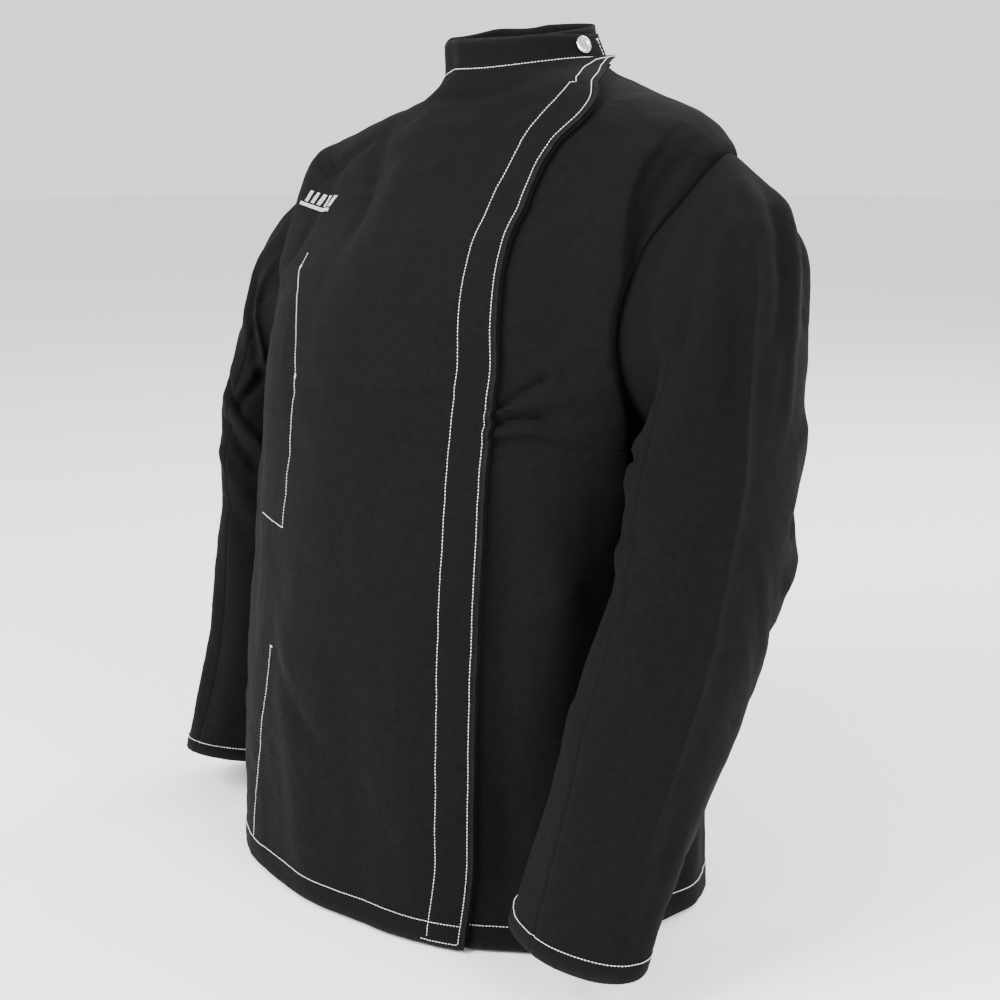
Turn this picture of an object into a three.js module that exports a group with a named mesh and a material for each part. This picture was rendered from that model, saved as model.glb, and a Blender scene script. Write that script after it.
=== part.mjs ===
// Wrap-over welding jacket in black flame-resistant cotton, with a stand collar, a concealed snap
// placket and two-piece sleeves. Millimetres, +Z up, front towards -Y, the wearer's left towards +X.
// The origin is the centre of the neck, level with the points where the shoulders meet the neck.
import * as THREE from 'three';

// ---- driving dimensions -------------------------------------------------------------------------
const CLOTH = 1.6;            // one layer of cloth with its seam allowance
const COLLAR_CLOTH = 2.2;     // the collar band: two layers and an interlining
const COLLAR_HEIGHT = 29;     // band above the neck seam
const LAP = 7;                // how far the wrap-over front stands off the under front
const TIP_FLARE = 4;          // how far the wrap-over's top corner stands off the neck
const NECK_LIFT = 11;         // how much higher the neck seam runs behind the right shoulder
const SEAM = 0.4;             // clearance between neighbouring panels
const SEAM_ANGLE = 0.35;      // the same at a seam that runs down the body, degrees
const SIDE = 93;              // side seam, degrees round from the front
const HEM = -740;             // height of the hem
const ARMHOLE = { z: -200, halfHeight: 118, halfAngle: 30 };
const UNDER_EDGE = 4;         // front edge of the under front, degrees
const FLY = { width: 32, beyond: 1.5, cloth: 1, out: 4.7 };  // concealed fly behind the edge
const SNAP_INSET = 18;        // placket snaps, measured back from the wrap-over edge
const SNAP_HEIGHTS = [-78, -190, -325, -465, -620];
const COLLAR_SNAP = { angle: 85, z: 5 };
const ELBOW = 0.56;           // where the elbow divides a sleeve, 0 at the armhole, 1 at the cuff
const SLEEVE_STANDOFF = 3.5;  // the sleeve head outside the armhole's edge

// Body levels: height, half width, half depth, centre y, squareness of the oval
const BODY = [
  [HEM, 235, 181, -71, 2.4], [-600, 231, 182, -65, 2.35], [-450, 226, 177, -60, 2.3],
  [-330, 227, 168, -56, 2.25], [-230, 231, 152, -48, 2.2], [-160, 238, 128, -36, 2.1],
  [-115, 246, 104, -24, 2], [-86, 243, 92, -16, 2], [-62, 220, 83, -9, 2], [-46, 186, 77, -5, 2],
  [-30, 134, 72, -2, 2], [-17, 90, 68, 0, 2], [-6, 76, 66, 0, 2], [12, 71, 65, 0, 2],
];

// The worn jacket sits lower on the right: how far, and from and to which x the drop grows
const RIGHT_DROP = { by: 16, from: 20, to: 90, low: -260, high: -120 };

// Wrap-over edge: height and angle round from the front, up to the corner at the side of the neck
const EDGE = [
  [HEM, 36.2], [-660, 38], [-440, 38], [-265, 36.8], [-211, 33.8], [-144, 29.4], [-103, 28.4],
  [-81, 30.2], [-63, 36.5], [-32, 59], [-20, 86], [-10, 114],
];

// Fold lines of the two corners that turn back, as x and z at each end
const COLLAR_FOLD = { top: [-22, -24], bottom: [139, -262] };
const HEM_FOLD = { top: [143, -402], bottom: [-40, HEM] };

// Sleeve stations: share of the length, centre, half width across, half depth front to back, how
// far the ring leans forward (degrees), how much higher its outer side is than its centre, and how
// far the ring is turned about the vertical (degrees)
const LEFT_SLEEVE = [
  [0.1, 270, -42, -222, 38, 82, 0, 100, 0], [0.22, 280, -57, -262, 48, 86, 0, 66, 0],
  [0.42, 281, -72, -352, 48, 97, 8, 24, 0], [0.56, 282, -88, -427, 50, 97, 15, 6, 0],
  [0.76, 285, -161, -545, 57, 72, 20, 0, -4], [1, 267, -218, -697, 70, 46, 3, -6, -12],
];
const RIGHT_SLEEVE = [
  [0.1, 258, -32, -240, 26, 80, 0, 84, 0], [0.22, 272, -32, -284, 39, 84, 0, 58, 0],
  [0.42, 281, -39, -354, 48, 96, 0, 20, 0], [0.56, 284, -38, -434, 48, 96, 2, 6, 0],
  [0.76, 297, -50, -562, 51, 88, 6, 0, 0], [1, 306, -100, -708, 57, 70, 10, 0, 0],
];

// ---- materials ----------------------------------------------------------------------------------
const cotton = new THREE.MeshStandardMaterial({ color: '#232324', roughness: 0.9, metalness: 0 });
const lining = new THREE.MeshStandardMaterial({ color: '#1b1b1c', roughness: 0.95, metalness: 0 });
const nickel = new THREE.MeshStandardMaterial({ color: '#c9ccd0', roughness: 0.25, metalness: 1 });
const thread = new THREE.MeshStandardMaterial({ color: '#dededc', roughness: 0.6, metalness: 0 });

const jacket = new THREE.Group();

// ---- curves -------------------------------------------------------------------------------------
const radians = THREE.MathUtils.degToRad;
const lerp = THREE.MathUtils.lerp;
const smooth = THREE.MathUtils.smoothstep;
const UP = new THREE.Vector3(0, 0, 1);

// Slope at each row of a table that passes its points without overshooting
function slopes(rows, k) {
  const step = (i) => (rows[i + 1][k] - rows[i][k]) / (rows[i + 1][0] - rows[i][0]);
  return rows.map((row, i) => {
    if (i === 0) return step(0);
    if (i === rows.length - 1) return step(i - 1);
    const before = step(i - 1);
    const after = step(i);
    return before * after > 0 ? 2 * before * after / (before + after) : 0;
  });
}

// A smooth function of the table's first column: it returns the other columns
function curve(rows) {
  const columns = rows[0].length - 1;
  const slope = Array.from({ length: columns }, (_, k) => slopes(rows, k + 1));
  return (x) => {
    let i = rows.findIndex((row) => row[0] > x) - 1;
    if (i === -2) i = rows.length - 2;
    i = Math.max(i, 0);
    const width = rows[i + 1][0] - rows[i][0];
    const s = THREE.MathUtils.clamp((x - rows[i][0]) / width, 0, 1);
    return slope.map((m, k) => (1 + 2 * s) * (1 - s) ** 2 * rows[i][k + 1]
      + s * (1 - s) ** 2 * width * m[i]
      + s * s * (3 - 2 * s) * rows[i + 1][k + 1]
      + s * s * (s - 1) * width * m[i + 1]);
  };
}

const bodyAt = curve(BODY);
const edgeAngle = curve(EDGE);

// Point of the body's surface at a height and an angle round from the front, standing off by `out`
function body(z, degrees, out = 0) {
  const [a, b, c, n] = bodyAt(z);
  const s = Math.sin(radians(degrees));
  const t = Math.cos(radians(degrees));
  const r = (Math.abs(s) ** n + Math.abs(t) ** n) ** (-1 / n);
  const x = (a + out) * r * s;
  const drop = RIGHT_DROP.by * smooth(-x, RIGHT_DROP.from, RIGHT_DROP.to)
    * smooth(z, RIGHT_DROP.low, RIGHT_DROP.high);
  return new THREE.Vector3(x, c - (b + out) * r * t, z - drop);
}

// Outward normal of the body's surface
function bodyNormal(z, degrees) {
  const along = body(z, degrees + 0.5).sub(body(z, degrees - 0.5));
  const up = body(z + 1, degrees).sub(body(z - 1, degrees));
  return along.cross(up).normalize();
}

// Body point moved outwards along its normal
function bodyOut(z, degrees, out) {
  return body(z, degrees).addScaledVector(bodyNormal(z, degrees), out);
}

// Angle at which the front of the body has a given x at a given height
function angleOfX(x, z) {
  const [a, , , n] = bodyAt(z);
  const share = Math.min(Math.abs(x / a), 0.999);
  const rest = (1 - share ** n) ** (1 / n);
  return Math.sign(x) * THREE.MathUtils.radToDeg(Math.atan2(share, rest));
}

// Height of the neck seam: low at the front, high at the back, and lifted behind the right shoulder
function neckSeam(degrees) {
  const around = (degrees + 360) % 360;
  const lift = NECK_LIFT * smooth(around, 205, 245) * (1 - smooth(around, 285, 318));
  return -9 - 9 * Math.cos(radians(degrees)) + lift;
}

// The wrap-over front's top corner stands off, because it is stiff and the neck curves away from it
const tipFlare = (degrees, z) => TIP_FLARE * smooth(degrees, 66, 118) * smooth(z, -50, -12);

// How far the wrap-over front stands off, growing from the wearer's right to the under front's edge
const lapOut = (degrees, z = HEM) => LAP * smooth(degrees, -26, UNDER_EDGE - 6) + tipFlare(degrees, z);

// The armhole's half angle at a height, 0 outside it
function armholeAngle(z) {
  const h = (z - ARMHOLE.z) / ARMHOLE.halfHeight;
  return Math.abs(h) >= 1 ? 0 : ARMHOLE.halfAngle * Math.sqrt(1 - h * h);
}

// A fold line's x at a height
function foldX({ top, bottom }, z) {
  return lerp(bottom[0], top[0], (z - bottom[1]) / (top[1] - bottom[1]));
}

// ---- solids -------------------------------------------------------------------------------------
function add(name, geometry, material) {
  const mesh = new THREE.Mesh(geometry, material);
  mesh.name = name;
  jacket.add(mesh);
  return mesh;
}

// A closed sheet: a grid of outer points given by point(u, v), the same grid moved inwards by the
// thickness along its normals, and a rim round the edge
function sheet(point, across, along, thickness) {
  const outer = [];
  const h = 1e-3;
  for (let j = 0; j <= along; j++) {
    for (let i = 0; i <= across; i++) outer.push(point(i / across, j / along));
  }
  const inner = outer.map((p, k) => {
    const u = (k % (across + 1)) / across;
    const v = Math.floor(k / (across + 1)) / along;
    const u0 = Math.max(u - h, 0);
    const v0 = Math.max(v - h, 0);
    const du = point(Math.min(u0 + 2 * h, 1), v).sub(point(u0, v));
    const dv = point(u, Math.min(v0 + 2 * h, 1)).sub(point(u, v0));
    return p.clone().addScaledVector(du.cross(dv).normalize(), -thickness);
  });
  const count = outer.length;
  const index = [];
  const quad = (a, b, c, d) => index.push(a, b, c, a, c, d);
  const at = (i, j) => j * (across + 1) + i;
  for (let j = 0; j < along; j++) {
    for (let i = 0; i < across; i++) {
      const [a, b, c, d] = [at(i, j), at(i + 1, j), at(i + 1, j + 1), at(i, j + 1)];
      quad(a, b, c, d);
      quad(d + count, c + count, b + count, a + count);
    }
  }
  const rim = [];
  for (let i = 0; i < across; i++) rim.push(at(i, 0));
  for (let j = 0; j < along; j++) rim.push(at(across, j));
  for (let i = across; i > 0; i--) rim.push(at(i, along));
  for (let j = along; j > 0; j--) rim.push(at(0, j));
  rim.forEach((a, k) => {
    const b = rim[(k + 1) % rim.length];
    quad(b, a, a + count, b + count);
  });
  const geometry = new THREE.BufferGeometry();
  const positions = [...outer, ...inner].flatMap((p) => [p.x, p.y, p.z]);
  geometry.setAttribute('position', new THREE.Float32BufferAttribute(positions, 3));
  geometry.setIndex(index);
  return geometry;
}

// Heights from bottom to top as a share of the girth profile, so that the flat shoulder gets rows too
const profileLength = (z) => {
  const [a] = bodyAt(z);
  return (z - HEM) + (z > ARMHOLE.z + ARMHOLE.halfHeight ? 246 - a : 0);
};
function heightAt(share, low, high) {
  const start = profileLength(low);
  const goal = lerp(start, profileLength(high), share);
  let [lo, hi] = [low, high];
  for (let k = 0; k < 40; k++) {
    const middle = (lo + hi) / 2;
    if (profileLength(middle) < goal) lo = middle;
    else hi = middle;
  }
  return (lo + hi) / 2;
}

// A body panel between two angles, each a function of height, from a low height up to a height that
// may depend on the angle
const PLAIN = { out: () => 0, cloth: CLOTH, material: cotton };
function panel(name, from, to, low, high, across, along, options = {}) {
  const { out, cloth, material } = { ...PLAIN, ...options };
  const point = (u, v) => {
    const rough = heightAt(v, low, -30);
    const degrees = lerp(from(rough), to(rough), u);
    const z = heightAt(v, low, high(degrees));
    const fitted = lerp(from(z), to(z), u);
    return bodyOut(z, fitted, out(fitted, z));
  };
  return add(name, sheet(point, across, along, cloth), material);
}

// ---- body panels --------------------------------------------------------------------------------
const seamTop = (degrees) => neckSeam(degrees) - SEAM;
const sideFront = (z) => SIDE - armholeAngle(z) - SEAM_ANGLE;
const sideBack = (z) => SIDE + armholeAngle(z) + SEAM_ANGLE;

panel('back_panel', sideBack, (z) => 360 - sideBack(z), HEM, seamTop, 24, 20);
panel('left_front_panel', () => UNDER_EDGE, sideFront, HEM, seamTop, 12, 20);

// The wrap-over front's free side: the hem fold, the edge itself, then the collar fold
function frontCut(z) {
  if (z < HEM_FOLD.top[1]) return angleOfX(foldX(HEM_FOLD, z), z);
  if (z < COLLAR_FOLD.bottom[1]) return edgeAngle(z)[0];
  return angleOfX(foldX(COLLAR_FOLD, z), z);
}
panel('right_front_panel', (z) => -sideFront(z), (z) => frontCut(z) - SEAM_ANGLE, HEM, seamTop, 16, 24,
  { out: lapOut });

// The two corners that turn back, from a fold line to the wrap-over edge
const CORNER_TIP = 14;        // how far short of the fold line's end each corner piece stops
const cornerFrom = (z) => frontCut(z) + SEAM_ANGLE;
const edge = (z) => edgeAngle(z)[0];
const collarCornerLow = COLLAR_FOLD.bottom[1] + CORNER_TIP;
const hemCornerTop = () => HEM_FOLD.top[1] - CORNER_TIP;
panel('collar_corner_flap', cornerFrom, edge, collarCornerLow, seamTop, 8, 16, { out: lapOut });
panel('hem_corner_flap', cornerFrom, edge, HEM, hemCornerTop, 8, 10, { out: lapOut });

// Concealed fly: a strip behind the edge, which carries the snap sockets
const perDegree = (z, degrees) => body(z, degrees + 0.5).distanceTo(body(z, degrees - 0.5));
const insetAngle = (z, inset) => edge(z) - inset / perDegree(z, edge(z));
const flyFrom = (z) => Math.max(insetAngle(z, FLY.width), cornerFrom(z) + SEAM_ANGLE);
const flyTo = (z) => insetAngle(z, -FLY.beyond);
const flyOptions = { out: (degrees, z) => FLY.out + tipFlare(degrees, z), cloth: FLY.cloth };
const flyTop = (degrees) => seamTop(degrees) - SEAM;
panel('collar_corner_fly', flyFrom, flyTo, collarCornerLow + CORNER_TIP, flyTop, 3, 14, flyOptions);
panel('front_fly', (z) => insetAngle(z, FLY.width), flyTo, HEM_FOLD.top[1] + CORNER_TIP,
  () => COLLAR_FOLD.bottom[1] - CORNER_TIP, 3, 4, flyOptions);
panel('hem_corner_fly', flyFrom, flyTo, HEM + CORNER_TIP, () => hemCornerTop() - CORNER_TIP, 3, 8,
  flyOptions);

// Pocket bags inside the wearer's right front, and a small woven mark outside it
const POCKET = { out: -CLOTH - 1, cloth: 1 };
const pocketOptions = { out: () => POCKET.out, cloth: POCKET.cloth };
panel('chest_pocket_bag', () => -62, () => -21, -412, () => -184, 6, 6, pocketOptions);
panel('hip_pocket_bag', () => -62, () => -28, HEM + 22, () => -530, 6, 5, pocketOptions);
const MARK = { from: -58, to: -34, low: -124, high: -110, standoff: 2.4, cloth: 1 };
panel('chest_mark', () => MARK.from, () => MARK.to, MARK.low, () => MARK.high, 6, 2,
  { out: (degrees) => lapOut(degrees) + MARK.standoff, cloth: MARK.cloth, material: thread });

// ---- collar -------------------------------------------------------------------------------------
const COLLAR_START = 62;      // inner end, degrees round from the front towards the wearer's left
const COLLAR_END = 360 + 108; // outer end, one turn and a little further
const COLLAR_SPLIT = 360 - 17;// where the band meets the part that turns back with the corner
const COLLAR_LEAN = -4;       // how far the top edge shifts towards the wearer's right front
const TAB_TAPER = 6;          // the outer end is this much lower than the band

function collarPoint(degrees, share) {
  const taper = TAB_TAPER * smooth(degrees, COLLAR_END - 60, COLLAR_END);
  const z = neckSeam(degrees) + share * (COLLAR_HEIGHT - taper);
  const out = degrees > 180 ? lapOut(degrees - 360) : 0;
  const lean = COLLAR_LEAN * share;
  return bodyOut(z, degrees, out).add(new THREE.Vector3(lean, lean, 0));
}
function collarPiece(name, from, to, across) {
  const point = (u, v) => collarPoint(lerp(from, to, u), v);
  return add(name, sheet(point, across, 3, COLLAR_CLOTH), cotton);
}
collarPiece('collar_band', COLLAR_START, COLLAR_SPLIT - SEAM_ANGLE, 36);
collarPiece('collar_tab', COLLAR_SPLIT + SEAM_ANGLE, COLLAR_END, 16);

// Hanger loop inside the back of the neck: a short strap bowed forwards from the band
const LOOP = { half: 26, bow: 11, strap: 1.4, height: 9, z: 1, back: 55 };
function loopOutline(grow) {
  const points = [];
  for (let k = 0; k <= 12; k++) {
    const u = k / 6 - 1;
    points.push(new THREE.Vector2(u * (LOOP.half + grow), LOOP.back - (LOOP.bow + grow) * (1 - u * u)));
  }
  return points;
}
const strap = new THREE.Shape([...loopOutline(LOOP.strap), ...loopOutline(0).reverse()]);
add('hanger_loop', new THREE.ExtrudeGeometry(strap, { depth: LOOP.height, bevelEnabled: false }), lining)
  .position.set(0, 0, LOOP.z);

// ---- snaps --------------------------------------------------------------------------------------
// Each part is a turned piece; its profile is radius against height along the snap's axis
const SNAP_STUD = [[0, 0.4], [5.5, 0.4], [5.5, 0.9], [2, 1], [2, 1.6], [0, 1.6]];
const SNAP_SOCKET = [[0, 2.3], [3, 2.3], [3, 2], [5.6, 2], [5.6, 3.1], [0, 3.1]];
const COLLAR_STUD = [[0, 0.7], [5.4, 0.7], [5.4, 1.2], [2.2, 1.4], [2.2, 2.2], [0, 2.2]];
const COLLAR_SOCKET = [[0, 2.8], [3.2, 2.8], [3.2, 2.5], [5.4, 2.5], [5.4, 3.9], [0, 3.9]];
const COLLAR_CAP = [[0, 7.5], [7.6, 7.5], [7.8, 8.2], [7.2, 8.9], [6.2, 8.9], [5, 8.4], [0, 8.2]];
const SNAP_SIDES = 12;

// A turned piece whose foot stands on the body's surface, pointing outwards
function turned(name, profile, foot, outwards) {
  const points = profile.map(([r, h]) => new THREE.Vector2(r, h));
  const mesh = add(name, new THREE.LatheGeometry(points, SNAP_SIDES), nickel);
  mesh.position.copy(foot);
  mesh.quaternion.setFromUnitVectors(new THREE.Vector3(0, 1, 0), outwards);
}
SNAP_HEIGHTS.forEach((z, k) => {
  const degrees = insetAngle(z, SNAP_INSET);
  turned(`placket_stud_${k + 1}`, SNAP_STUD, body(z, degrees), bodyNormal(z, degrees));
  turned(`placket_socket_${k + 1}`, SNAP_SOCKET, body(z, degrees), bodyNormal(z, degrees));
});
// The collar snap stands on the band's inner end, square to it
const COLLAR_SNAP_SHARE = (COLLAR_SNAP.z - neckSeam(COLLAR_SNAP.angle)) / COLLAR_HEIGHT;
const collarFoot = collarPoint(COLLAR_SNAP.angle, COLLAR_SNAP_SHARE);
const collarRound = collarPoint(COLLAR_SNAP.angle + 1, COLLAR_SNAP_SHARE).sub(collarFoot);
const collarUp = collarPoint(COLLAR_SNAP.angle, COLLAR_SNAP_SHARE + 0.1).sub(collarFoot);
const collarOutwards = collarRound.cross(collarUp).normalize();
turned('collar_snap_stud', COLLAR_STUD, collarFoot, collarOutwards);
turned('collar_snap_socket', COLLAR_SOCKET, collarFoot, collarOutwards);
turned('collar_snap_cap', COLLAR_CAP, collarFoot, collarOutwards);

// ---- sleeves ------------------------------------------------------------------------------------
// A point of the sleeve: t runs from the armhole (0) to the cuff (1), and the angle goes round the
// arm from its outer side (0) to the front (90), the inner side (180) and the back (270)
function armholePoint(round, mirror) {
  const z = ARMHOLE.z + ARMHOLE.halfHeight * Math.cos(radians(round));
  const p = body(z, mirror * (SIDE - ARMHOLE.halfAngle * Math.sin(radians(round))), SLEEVE_STANDOFF);
  return p.setX(p.x * mirror);
}
function stationPoint([, x, y, z, across, depth, lean, rise, twist], round) {
  const c = Math.cos(radians(round));
  const s = Math.sin(radians(round)) * depth;
  const tilt = radians(lean);
  const ring = new THREE.Vector3(across * c, -s * Math.cos(tilt), rise * c + s * Math.sin(tilt));
  return ring.applyAxisAngle(UP, radians(twist)).add(new THREE.Vector3(x, y, z));
}
function sleevePoint(stations, mirror, t, round) {
  const start = armholePoint(round, mirror);
  const rows = [[0, start.x, start.y, start.z]];
  stations.forEach((row) => rows.push([row[0], ...stationPoint(row, round).toArray()]));
  return new THREE.Vector3(...curve(rows)(t));
}
const ELBOW_GAP = 0.0015;     // half the gap at the elbow, as a share of the sleeve
const SLEEVE_PIECES = [
  ['upper_sleeve_outer', 0, ELBOW - ELBOW_GAP, -90, 90, 10],
  ['upper_sleeve_inner', 0, ELBOW - ELBOW_GAP, 90, 270, 10],
  ['forearm_sleeve_outer', ELBOW + ELBOW_GAP, 1, -90, 90, 8],
  ['forearm_sleeve_inner', ELBOW + ELBOW_GAP, 1, 90, 270, 8],
];
function sleeve(side, stations, mirror) {
  SLEEVE_PIECES.forEach(([name, t0, t1, from, to, along]) => {
    const point = (u, v) => {
      const share = mirror > 0 ? u : 1 - u;
      const round = lerp(from + SEAM_ANGLE, to - SEAM_ANGLE, share);
      const p = sleevePoint(stations, mirror, lerp(t0, t1, v), round);
      return p.setX(p.x * mirror);
    };
    add(`${side}_${name}`, sheet(point, 10, along, CLOTH), cotton);
  });
}
sleeve('left', LEFT_SLEEVE, 1);
sleeve('right', RIGHT_SLEEVE, -1);

export default jacket;
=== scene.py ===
# %% [markdown]
# A wrap-over welding jacket in black flame-resistant cotton
#
# The jacket is shown in its worn shape: a stand collar with one nickel snap, a front that wraps
# over and closes along a concealed snap placket, and two-piece sleeves that bend at the elbow.
# Its solids, joints and sizes come from the imported frame. This lesson makes the cloth, the thread
# and the metal that are seen; some ride on the frame's bodies, and the pieces at its bends are baked in
# place.

# %% The frame
import math

import bmesh
import bpy
import numpy as np
from mathutils import Euler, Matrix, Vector


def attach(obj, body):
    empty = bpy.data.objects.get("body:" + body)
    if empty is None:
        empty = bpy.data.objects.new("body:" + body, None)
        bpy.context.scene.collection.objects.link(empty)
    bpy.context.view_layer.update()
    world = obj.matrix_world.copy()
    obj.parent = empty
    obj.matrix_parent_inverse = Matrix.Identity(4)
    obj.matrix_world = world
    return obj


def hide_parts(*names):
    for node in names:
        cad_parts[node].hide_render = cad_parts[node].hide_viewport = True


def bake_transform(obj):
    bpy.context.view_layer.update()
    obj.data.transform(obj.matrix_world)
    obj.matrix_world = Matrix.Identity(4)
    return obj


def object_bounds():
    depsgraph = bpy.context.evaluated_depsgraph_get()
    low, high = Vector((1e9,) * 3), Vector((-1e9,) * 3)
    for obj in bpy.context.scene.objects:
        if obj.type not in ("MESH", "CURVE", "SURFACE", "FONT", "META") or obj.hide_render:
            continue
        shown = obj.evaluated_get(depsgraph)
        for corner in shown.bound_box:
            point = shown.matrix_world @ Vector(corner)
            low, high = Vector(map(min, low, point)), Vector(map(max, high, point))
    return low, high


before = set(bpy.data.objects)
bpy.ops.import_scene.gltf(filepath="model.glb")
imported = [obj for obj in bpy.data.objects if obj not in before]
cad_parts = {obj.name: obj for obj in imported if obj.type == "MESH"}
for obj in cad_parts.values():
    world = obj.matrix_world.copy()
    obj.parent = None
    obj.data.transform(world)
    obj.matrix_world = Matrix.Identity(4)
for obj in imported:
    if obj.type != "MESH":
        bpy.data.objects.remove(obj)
cad_low, cad_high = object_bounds()
MM = 0.001

# %% [markdown]
# The camera
#
# The jacket is seen from its left front, slightly from above, with the eye a little over half its
# height. A long lens at 1.65 m keeps the near sleeve from growing out of proportion.

# %% Camera
EYE_AZIMUTH = 45
EYE_DISTANCE = 1.65
EYE_HEIGHT = -0.05
EYE_PITCH = 12
EYE_PAN = 0.69
LENS = 65.7
SENSOR = 36
BODY_AXIS_Y = -0.062

camera_data = bpy.data.cameras.new("camera")
camera_data.lens = LENS
camera_data.sensor_width = SENSOR
camera = bpy.data.objects.new("camera", camera_data)
around = math.radians(EYE_AZIMUTH)
camera.location = (math.sin(around) * EYE_DISTANCE,
                   BODY_AXIS_Y - math.cos(around) * EYE_DISTANCE, EYE_HEIGHT)
camera.rotation_euler = Euler((math.radians(90 - EYE_PITCH), 0, math.radians(EYE_AZIMUTH - EYE_PAN)))
bpy.context.scene.collection.objects.link(camera)
bpy.context.scene.camera = camera
print("camera at", tuple(round(x, 3) for x in camera.location))

# %% [markdown]
# Curves through measured rows
#
# A tailor's block is a table of girths and heights. A smooth curve through such a table must not
# overshoot, or the cloth would bulge between two rows, so each piece is a cubic whose slopes are
# the harmonic mean of the steps beside them, and flat where the steps change sign.

# %% Curves
def smooth(x, low, high):
    """3s^2 - 2s^3, where s is how far x lies from low to high, held between 0 and 1."""
    s = np.clip((np.asarray(x, float) - low) / (high - low), 0, 1)
    return s * s * (3 - 2 * s)


def mix(a, b, share):
    """a + (b - a) times the share."""
    return a + (b - a) * share


def row_slopes(knots, values):
    """Slope at each row: the harmonic mean of the two steps beside it, 0 where their signs differ."""
    width = np.diff(knots).reshape((-1,) + (1,) * (values.ndim - 1))
    step = np.diff(values, axis=0) / width
    product = step[:-1] * step[1:]
    total = np.where(product > 0, step[:-1] + step[1:], 1)
    inner = np.where(product > 0, 2 * product / total, 0)
    return np.concatenate([step[:1], inner, step[-1:]])


def cubic(s, width, start, end, slope_start, slope_end):
    """Hermite cubic between two rows at share s, its slopes scaled by the rows' distance."""
    return ((1 + 2 * s) * (1 - s) ** 2 * start + s * (1 - s) ** 2 * width * slope_start
            + s * s * (3 - 2 * s) * end + s * s * (s - 1) * width * slope_end)


def from_table(rows, at):
    """Every other column of a table as a smooth function of its first column."""
    rows = np.array(rows, float)
    knots, values = rows[:, 0], rows[:, 1:]
    slope = row_slopes(knots, values)
    at = np.asarray(at, float)
    i = np.clip(np.searchsorted(knots, at, side="right") - 1, 0, len(knots) - 2)
    width = np.diff(knots)[i]
    s = np.clip((at - knots[i]) / width, 0, 1)[..., None]
    made = cubic(s, width[..., None], values[i], values[i + 1], slope[i], slope[i + 1])
    return np.moveaxis(made, -1, 0)


def from_stations(knots, values, at):
    """The same for rows that differ from point to point: values is (rows, points, 3), at (points)."""
    knots = np.array(knots, float)
    slope = row_slopes(knots, values)
    i = np.clip(np.searchsorted(knots, at, side="right") - 1, 0, len(knots) - 2)
    width = np.diff(knots)[i]
    s = np.clip((at - knots[i]) / width, 0, 1)[..., None]

    def pick(array, row):
        return np.take_along_axis(array, row[None, ..., None], 0)[0]

    return cubic(s, width[..., None], pick(values, i), pick(values, i + 1),
                 pick(slope, i), pick(slope, i + 1))


# %% [markdown]
# The block: body, edge and sleeves
#
# These are the jacket's own measurements, in millimetres, as the frame was built from them. The
# body is a squared oval at every height. A wearer is never even, so it sits lower on the right.

# %% Measurements
HEM = -740
CLOTH = 1.6
COLLAR_CLOTH = 2.2
COLLAR_HEIGHT = 29
LAP = 7
TIP_FLARE = 4
NECK_LIFT = 11
SIDE = 93
ARMHOLE_Z, ARMHOLE_HALF_HEIGHT, ARMHOLE_HALF_ANGLE = -200, 118, 30
UNDER_EDGE = 4
BODY = [
    [HEM, 235, 181, -71, 2.4], [-600, 231, 182, -65, 2.35], [-450, 226, 177, -60, 2.3],
    [-330, 227, 168, -56, 2.25], [-230, 231, 152, -48, 2.2], [-160, 238, 128, -36, 2.1],
    [-115, 246, 104, -24, 2], [-86, 243, 92, -16, 2], [-62, 220, 83, -9, 2], [-46, 186, 77, -5, 2],
    [-30, 134, 72, -2, 2], [-17, 90, 68, 0, 2], [-6, 76, 66, 0, 2], [12, 71, 65, 0, 2],
]
RIGHT_DROP, DROP_FROM, DROP_TO, DROP_LOW, DROP_HIGH = 16, 20, 90, -260, -120
EDGE = [
    [HEM, 36.2], [-660, 38], [-440, 38], [-265, 36.8], [-211, 33.8], [-144, 29.4], [-103, 28.4],
    [-81, 30.2], [-63, 36.5], [-32, 59], [-20, 86], [-10, 114],
]
LEFT_SLEEVE = [
    [0.1, 270, -42, -222, 38, 82, 0, 100, 0], [0.22, 280, -57, -262, 48, 86, 0, 66, 0],
    [0.42, 281, -72, -352, 48, 97, 8, 24, 0], [0.56, 282, -88, -427, 50, 97, 15, 6, 0],
    [0.76, 285, -161, -545, 57, 72, 20, 0, -4], [1, 267, -218, -697, 70, 46, 3, -6, -12],
]
RIGHT_SLEEVE = [
    [0.1, 258, -32, -240, 26, 80, 0, 84, 0], [0.22, 272, -32, -284, 39, 84, 0, 58, 0],
    [0.42, 281, -39, -354, 48, 96, 0, 20, 0], [0.56, 284, -38, -434, 48, 96, 2, 6, 0],
    [0.76, 297, -50, -562, 51, 88, 6, 0, 0], [1, 306, -100, -708, 57, 70, 10, 0, 0],
]
SLEEVE_LENGTH = 630
GIRTH_PER_DEGREE = 3.7
print("hem to neck", -HEM, "mm, sleeve", SLEEVE_LENGTH, "mm")


# %% Body surface
def body(z, degrees, out=0.0):
    """Squared oval: x = a r sin, y = c - b r cos, with r = (|sin|^n + |cos|^n)^(-1/n)."""
    z, degrees = np.broadcast_arrays(np.asarray(z, float), np.asarray(degrees, float))
    a, b, c, n = from_table(BODY, z)
    sine, cosine = np.sin(np.radians(degrees)), np.cos(np.radians(degrees))
    r = (np.abs(sine) ** n + np.abs(cosine) ** n) ** (-1 / n)
    x = (a + out) * r * sine
    drop = RIGHT_DROP * smooth(-x, DROP_FROM, DROP_TO) * smooth(z, DROP_LOW, DROP_HIGH)
    return np.stack([x, c - (b + out) * r * cosine, z - drop], -1)


def unit(v):
    """v divided by its own length."""
    return v / np.maximum(np.linalg.norm(v, axis=-1, keepdims=True), 1e-9)


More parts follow.
